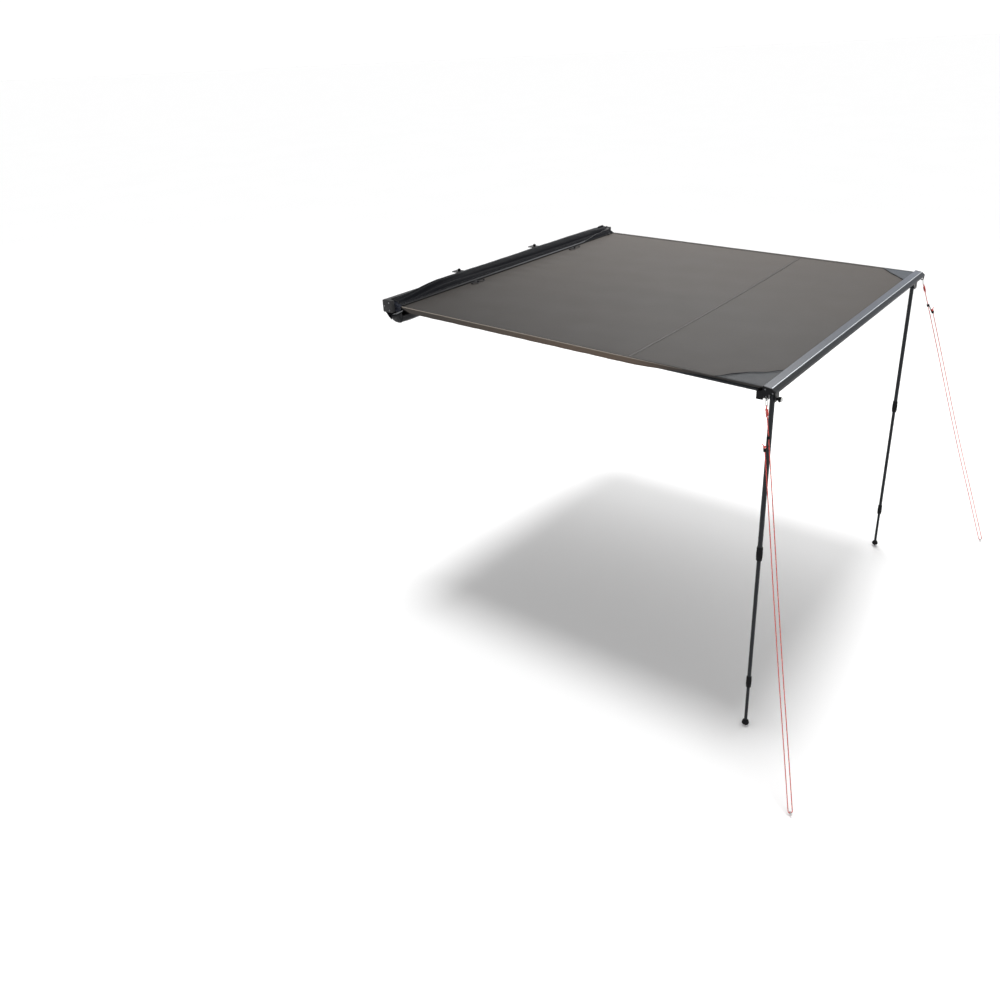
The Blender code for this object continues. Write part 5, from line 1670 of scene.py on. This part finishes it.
class AWNING_OT_rail_trim(bpy.types.Operator):
    """Make a light strip on the rail's ridge as a painted highlight, and a dark strip in the canopy's groove
    as a painted shadow
    """

    bl_idname = "awning.rail_trim"
    bl_label = "Rail trim"

    # The two strips' outlines, across the rail and up
    ridge_highlight_outline = (
        (0.0019, -0.0014),
        (0.0016, 0.0005),
        (0.0007, 0.0011),
        (-0.0007, 0.0010),
        (-0.0018, -0.0016),
    )
    groove_shadow_outline = ((0.0024, 0.0003), (0.0014, 0.0011), (-0.0006, 0.0011), (-0.0013, 0.0004))

    def execute(self, context):
        ridge = Vector((0.0, RAIL_INNER - RIDGE_PLACE, RAIL_TOP - 0.0052))
        # The ridge strip's light colour is a painted highlight along the ridge's edge.
        self.strip("rail_ridge", ridge, self.ridge_highlight_outline, "ridge", "rail_paint")
        # A dark strip in the canopy's groove: a painted shadow in the gap between the cloth and the rail.
        groove = Vector((0.0, RAIL_INNER + 0.0016, canopy_height(RAIL_INNER) + 0.0004))
        self.strip("rail_groove_strip", groove, self.groove_shadow_outline, "rubber", "black_plastic")
        return {"FINISHED"}

    def strip(self, name, place, outline, finish, slot):
        """A thin strip along the rail over an open outline."""
        half = HALF_LENGTH - END_INSET
        rows = []
        for across, up in outline:
            rows.append([place + Vector((x, across, up)) for x in even_steps(-half, half, 60)])
        belongs(cloth_piece(name, rows, finish, 0.0004), "rail")


class AWNING_OT_tie_loops(bpy.types.Operator):
    """Make the two pairs of thin loops that tie up the rolled awning"""

    bl_idname = "awning.tie_loops"
    bl_label = "Tie loops"

    # How far each pair lies from the middle of the frame's loop
    shifts = {"front": 0.022, "rear": 0.002}
    # Each toggle's place beside the pair's middle and its radius
    toggles = ((0.0, 0.0042), (0.050, 0.0030), (-0.050, 0.0030))

    def execute(self, context):
        for name in self.shifts:
            low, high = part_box(f"tie_loop_{name}")
            middle = (low.x + high.x) / 2 + self.shifts[name]
            depth = high.y - low.y + 0.008
            out = high.y - depth / 2 - 0.004
            made = self.bands(name, middle, out, depth)
            made += [self.toggle(name, middle, out), self.tab(name, middle, high.y, out)]
            for piece in made:
                belongs(piece, "base")
            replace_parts(made[-1], f"tie_loop_{name}")
        return {"FINISHED"}

    def bands(self, name, middle, out, depth):
        """Two bands side by side, each narrowed at its ends and lying loosely on the canopy."""
        up = Vector((0, -CANOPY_SLOPE, 1)).normalized()
        made = []
        for index, side in enumerate((-1, 1)):
            path = []
            for step in range(BAND_STEPS):
                angle = TURN * step / BAND_STEPS
                narrow = 0.55 + 0.45 * abs(math.sin(angle)) ** 0.6
                x = middle + side * BAND_OFFSET + BAND_HALF_WIDTH * math.cos(angle)
                y = out + BAND_REACH * depth * math.sin(angle) * narrow + 0.0020 * side
                path.append(on_top(x, y, 0.0026 + 0.0014 * math.sin(2 * angle + side)))
            made.append(webbing_loop(f"tie_band_{name}_{index + 1}", path, up, "black band"))
        return made

    def toggle(self, name, middle, out):
        """The toggle between the two bands and the small ones at their ends."""
        pile = Pile()
        for offset, radius in self.toggles:
            place = on_top(middle + offset - TOGGLE_LENGTH / 2, out, 0.0044)
            profile = [(radius * 0.45, 0.0), (radius, 0.0012)]
            profile += [(radius, TOGGLE_LENGTH - 0.0012), (radius * 0.45, TOGGLE_LENGTH)]
            pile.add_round(place, (1, 0, 0), profile, 16)
        return pile.piece(f"tie_toggle_{name}", "plastic")

    def tab(self, name, middle, start, out):
        """The short tab that runs from under the bag's cover to the toggle."""
        rows = []
        for x in (-0.010, -0.004, 0.004, 0.010):
            row = []
            for share in even_steps(0.0, 1.0, 12):
                y = start + 0.016 + (out - 0.004 - start - 0.016) * share
                row.append(on_top(middle + x, y, 0.0024 + 0.0012 * math.sin(math.pi * share)))
            rows.append(row)
        return cloth_piece(f"tie_tab_{name}", rows, "black band", 0.0012, 0.0)


def guy_frame(end, side):
    """Where a guy rope starts, the way it runs, and the way its strands lie side by side."""
    joint = next(joint for joint in frame["joints"] if joint["name"] == f"{end}_guy_swing")
    strand_side = STRAND_SIDE * side
    run = PEG_OFFSETS[end].normalized()
    beside = (strand_side - run * strand_side.dot(run)).normalized()
    run = (PEG_OFFSETS[end] - beside * STRAND_GAP / 2).normalized()
    beside = (strand_side - run * strand_side.dot(run)).normalized()
    return Vector(joint["pos_m"]), run, beside


def rope_route(end, side):
    """A guy rope's route: down from the clip, round the peg, and back up to the tensioner."""
    hole, run, beside = guy_frame(end, side)
    turn_radius = STRAND_GAP / 2
    turn = PEG_OFFSETS[end].dot(run) + PEG_WIRE_RADIUS + ROPE_RADIUS + FIT * 2 - turn_radius
    start = CLIP_SEAT + CLIP_LENGTH - CLIP_WIRE_RADIUS + FIT
    lower = TENSIONER_PLACE + TENSIONER_LENGTH
    free = lower + STRAIGHT_END
    sag_way = (-UP + run * run.z).normalized()

    def strand(along, across):
        share = max(0.0, (along - free) / (turn - free))
        sag = ROPE_SAG * math.sin(math.pi * min(1.0, share)) ** 2
        return hole + run * along + beside * across + sag_way * sag

    quarters = even_steps(free, turn - STRAIGHT_END, 5)[1:-1]
    down = [start, start + 0.03, TENSIONER_PLACE, lower + 0.01] + quarters + [turn - STRAIGHT_END]
    points = [strand(along, 0.0) for along in down]
    for angle in even_steps(0.0, math.pi, 8):
        across = turn_radius * (1 - math.cos(angle))
        points.append(hole + run * (turn + turn_radius * math.sin(angle)) + beside * across)
    back = [turn - STRAIGHT_END] + list(reversed(quarters)) + [free, lower - KNOT_TAIL]
    points += [strand(along, STRAND_GAP) for along in back]
    return points


class AWNING_OT_guy_ropes(bpy.types.Operator):
    """Make the braided guy ropes with their wound knots"""

    bl_idname = "awning.guy_ropes"
    bl_label = "Guy ropes"

    def execute(self, context):
        for end, side in SIDES.items():
            self.rope(end, side)
        return {"FINISHED"}

    def braided(self, along, share):
        """The rope's radius, with the low relief of its braid."""
        left = math.sin(TURN * (share * 4 + along / BRAID_RELIEF))
        right = math.sin(TURN * (share * 4 - along / BRAID_RELIEF))
        return ROPE_RADIUS * (0.955 + 0.045 * left * right)

    def rope(self, end, side):
        path = evenly(smooth_path(rope_route(end, side), 12), ROPE_STEP)
        rope = tube_piece(f"guy_cord_{end}", path, self.braided, "rope", 12)
        knots = [self.wound_knot(end, side), self.stopper_knot(end, side)]
        for piece in [rope] + knots:
            belongs(piece, f"{end}_guy")
        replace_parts(rope, f"guy_rope_{end}")
        path_length(path)

    def wound_knot(self, end, side):
        """The knot below the clip: an eye round the clip's wire and turns round the rope."""
        hole, run, beside = guy_frame(end, side)
        other = run.cross(beside)
        foot = CLIP_SEAT + CLIP_LENGTH - CLIP_WIRE_RADIUS
        eye_centre = hole + run * (foot - CLIP_WIRE_RADIUS)
        eye_radius = CLIP_WIRE_RADIUS + ROPE_RADIUS + 0.0004
        route = []
        for degrees in even_steps(-60, 240, 12):
            angle = math.radians(degrees)
            route.append(eye_centre + (other * math.cos(angle) - run * math.sin(angle)) * eye_radius)
        pitch = bpy.context.scene.awning_sizes.wrap_pitch
        for step in range(KNOT_TURNS * KNOT_STEPS + 1):
            angle = TURN * step / KNOT_STEPS
            radius = WRAP_RADIUS + 0.0004 * math.sin(angle * 0.37)
            around = beside * math.cos(angle) + other * math.sin(angle)
            reach = foot + KNOT_START + pitch * step / KNOT_STEPS
            route.append(hole + run * reach + around * radius)
        last = route[-1]
        route.append(last + run * 0.004 - beside * 0.003)
        route.append(last + run * 0.010 - beside * 0.007)
        return tube_piece(f"guy_clip_knot_{end}", smooth_path(route, 2), self.braided, "rope", 10)

    def stopper_knot(self, end, side):
        """The knot above the tensioner's lower hole: two turns, a crossing and a short tail."""
        hole, run, beside = guy_frame(end, side)
        other = run.cross(beside)
        reach = TENSIONER_PLACE + TENSIONER_LENGTH - STOPPER_OFFSET
        centre = hole + run * reach + beside * STRAND_GAP
        route = []
        for share in even_steps(0.0, 1.0, 30):
            angle = TURN * STOPPER_TURNS * share
            around = beside * math.cos(angle) + other * math.sin(angle)
            route.append(centre + run * (0.0042 - 0.0090 * share) + around * WRAP_RADIUS)
        route.append(centre - run * 0.0080 + beside * 0.0052)
        route.append(centre - run * 0.0125 + beside * 0.0100)
        return tube_piece(f"guy_stopper_knot_{end}", smooth_path(route, 2), self.braided, "rope", 10)


class AWNING_OT_trim(bpy.types.Operator):
    """Make the screws, rings, ribs and ferrules on the rigid pieces"""

    bl_idname = "awning.trim"
    bl_label = "Trim"

    # Places of the end caps' screws, as shares of the cap's depth and height
    cap_screws = ((0.25, 0.20), (0.25, 0.80), (0.78, 0.50))
    # Places of the rail corners' screws, in from the rail's inner edge and down from its top
    corner_screw_places = ((0.010, 0.012), (0.040, 0.023))
    # A rib's places along its length, with the share of its depth at each
    rib_shape = ((0.0, 0.4), (0.12, 1.0), (0.88, 1.0), (1.0, 0.4))
    # Where a lock's ribs start and end and where its two rings lie, as shares of its length off its middle
    rib_reach = (-0.30, 0.18)
    ring_shares = (0.24, 0.34)
    # Half the width of a rib at its root and at its tip
    rib_root = 0.0014
    rib_tip = 0.0007
    # How far the ribs of a knob start behind its face, and their length
    knob_rib_start = 0.0105
    knob_rib_length = 0.0072

    def execute(self, context):
        for end, side in SIDES.items():
            self.end_cap_screws(end, side)
            self.corner_screws(end, side)
            self.lock_grip(end, "leg_upper_lock", 16, 0.0009)
            self.lock_grip(end, "leg_lower_lock", 14, 0.0008)
            self.foot_trim(end)
            self.knob_trim(end, side)
            self.lock_grip(end, "arm_lock", 18, 0.0009)
        return {"FINISHED"}

    def screw(self, pile, place, direction, radius):
        """A domed screw with a hexagonal recess."""
        flange = [(radius * 1.25, 0.0), (radius * 1.25, 0.0006)]
        dome = [(radius, 0.0008), (radius * 0.96, 0.0020), (radius * 0.78, 0.0028), (radius * 0.50, 0.0031)]
        recess = [(radius * 0.42, 0.0014), (0.0002, 0.0013)]
        pile.add_round(place, direction, flange + dome + recess, 18)

    def end_cap_screws(self, end, side):
        low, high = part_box(f"end_cap_{end}")
        outer = high.x if side > 0 else low.x
        pile = Pile()
        for y_share, z_share in self.cap_screws:
            y = low.y + (high.y - low.y) * y_share
            z = low.z + (high.z - low.z) * z_share
            self.screw(pile, (outer, y, z), (side, 0, 0), 0.0034)
        belongs(pile.piece(f"end_cap_screws_{end}", "zinc"), "base")

    def corner_screws(self, end, side):
        low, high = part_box(f"rail_corner_{end}")
        outer = high.x if side > 0 else low.x
        pile = Pile()
        for inward, down in self.corner_screw_places:
            self.screw(pile, (outer, RAIL_INNER - inward, RAIL_TOP - down), (side, 0, 0), 0.0026)
        belongs(pile.piece(f"rail_corner_screws_{end}", "zinc"), "rail")

    def lock_grip(self, end, lock, count, depth):
        """Finger ribs round a twist lock, and two soft rings above them."""
        node = f"{lock}_{end}"
        body = f"{end}_{lock}"
        low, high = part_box(node)
        centre = (low + high) / 2
        upright = high.z - low.z > high.y - low.y
        direction = UP if upright else ARM_WAY
        length = (high.z - low.z) if upright else (high.y - low.y)
        radius = (high.x - low.x) / 2
        side = Vector((1, 0, 0))
        other = direction.cross(side)
        foot, head = (centre + direction * length * share for share in self.rib_reach)
        pile = Pile()
        for step in range(count):
            angle = TURN * (step + 0.5) / count
            out = side * math.cos(angle) + other * math.sin(angle)
            tangent = direction.cross(out)
            points = []
            for along, size in self.rib_shape:
                place = foot.lerp(head, along)
                root = place + out * (radius - 0.0006)
                tip = place + out * (radius + depth * size)
                points += [root - tangent * self.rib_root, tip - tangent * self.rib_tip]
                points += [tip + tangent * self.rib_tip, root + tangent * self.rib_root]
            pile.add(points, grid_faces(4, 4) + [(0, 1, 2, 3), (15, 14, 13, 12)])
        belongs(pile.piece(f"{node}_ribs", "plastic"), body)
        rings = Pile()
        for share in self.ring_shares:
            rings.add_ring(centre + direction * length * share, direction, radius - 0.0005, 0.0011)
        belongs(rings.piece(f"{node}_rings", "rubber"), body)

    def foot_trim(self, end):
        """The foot's rubber sole and the bright tip of its spike."""
        low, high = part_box(f"leg_foot_{end}")
        radius = (high.x - low.x) / 2
        foot = Vector(((low.x + high.x) / 2, (low.y + high.y) / 2, low.z))
        sole = [(radius - 0.0035, 0.0134), (radius - 0.0006, 0.0142), (radius + 0.0010, 0.0165)]
        sole += [(radius + 0.0010, 0.0205), (radius - 0.0004, 0.0228)]
        spike = [(0.0002, -0.0002), (0.0021, 0.0010), (0.0056, 0.0125)]
        pile = Pile()
        pile.add_round(foot, UP, sole, 28)
        belongs(pile.piece(f"leg_foot_sole_{end}", "rubber"), f"{end}_leg_lower")
        pile = Pile()
        pile.add_round(foot, UP, spike, 18)
        belongs(pile.piece(f"leg_foot_spike_{end}", "zinc"), f"{end}_leg_lower")

    def knob_trim(self, end, side):
        """The bright ring and the grip of the knob that locks the leg."""
        low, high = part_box(f"leg_knob_{end}")
        radius = (high.x - low.x) / 2
        face = Vector(((low.x + high.x) / 2, high.y if side > 0 else low.y, (low.z + high.z) / 2))
        ring = Pile()
        rim = [(radius * 0.60, -0.0004), (radius * 0.98, -0.0002), (radius * 0.98, 0.0012)]
        dish = [(radius * 0.74, 0.0022), (radius * 0.60, 0.0012), (radius * 0.56, 0.0004), (0.0003, 0.0004)]
        ring.add_round(face, (0, side, 0), rim + dish, 26)
        belongs(ring.piece(f"leg_knob_ring_{end}", "steel"), f"{end}_leg_knob")
        ribs = Pile()
        for step in range(KNOB_RIBS):
            angle = TURN * step / KNOB_RIBS
            out = Vector((math.cos(angle), 0.0, math.sin(angle)))
            start = face + Vector((0, -side * self.knob_rib_start, 0)) + out * radius
            ribs.add_stitch(start, start + Vector((0, side * self.knob_rib_length, 0)), out, 0.0009)
        belongs(ribs.piece(f"leg_knob_grip_{end}", "plastic"), f"{end}_leg_knob")


class AWNING_PT_panel(bpy.types.Panel):
    """The awning's operators, sizes and colours"""

    bl_label = "Awning"
    bl_idname = "AWNING_PT_panel"
    bl_space_type = "VIEW_3D"
    bl_region_type = "UI"
    bl_category = "Awning"

    def draw(self, context):
        layout = self.layout
        for operator in OPERATORS:
            layout.operator(operator.bl_idname)
        for name in AwningSizes.__annotations__:
            layout.prop(context.scene.awning_sizes, name)
        for name in AwningColours.__annotations__:
            layout.prop(context.scene.awning_colours, name)


OPERATORS = (
    AWNING_OT_metalwork,
    AWNING_OT_stage,
    AWNING_OT_guy_ropes,
    AWNING_OT_canopy,
    AWNING_OT_corner_patches,
    AWNING_OT_rail_trim,
    AWNING_OT_bag,
    AWNING_OT_tie_loops,
    AWNING_OT_trim,
)
CLASSES = (AwningColours, AwningSizes) + OPERATORS + (AWNING_PT_panel,)


def register():
    for cls in CLASSES:
        bpy.utils.register_class(cls)
    bpy.types.Scene.awning_colours = PointerProperty(type=AwningColours)
    bpy.types.Scene.awning_sizes = PointerProperty(type=AwningSizes)


def unregister():
    del bpy.types.Scene.awning_sizes
    del bpy.types.Scene.awning_colours
    for cls in reversed(CLASSES):
        bpy.utils.unregister_class(cls)


def main():
    """Dress the frame, one operator after another."""
    register()
    bpy.ops.awning.metalwork()
    bpy.ops.awning.stage()
    bpy.ops.awning.guy_ropes()
    bpy.ops.awning.canopy()
    bpy.ops.awning.corner_patches()
    bpy.ops.awning.rail_trim()
    bpy.ops.awning.bag()
    bpy.ops.awning.tie_loops()
    bpy.ops.awning.trim()


if __name__ == "__main__":
    main()
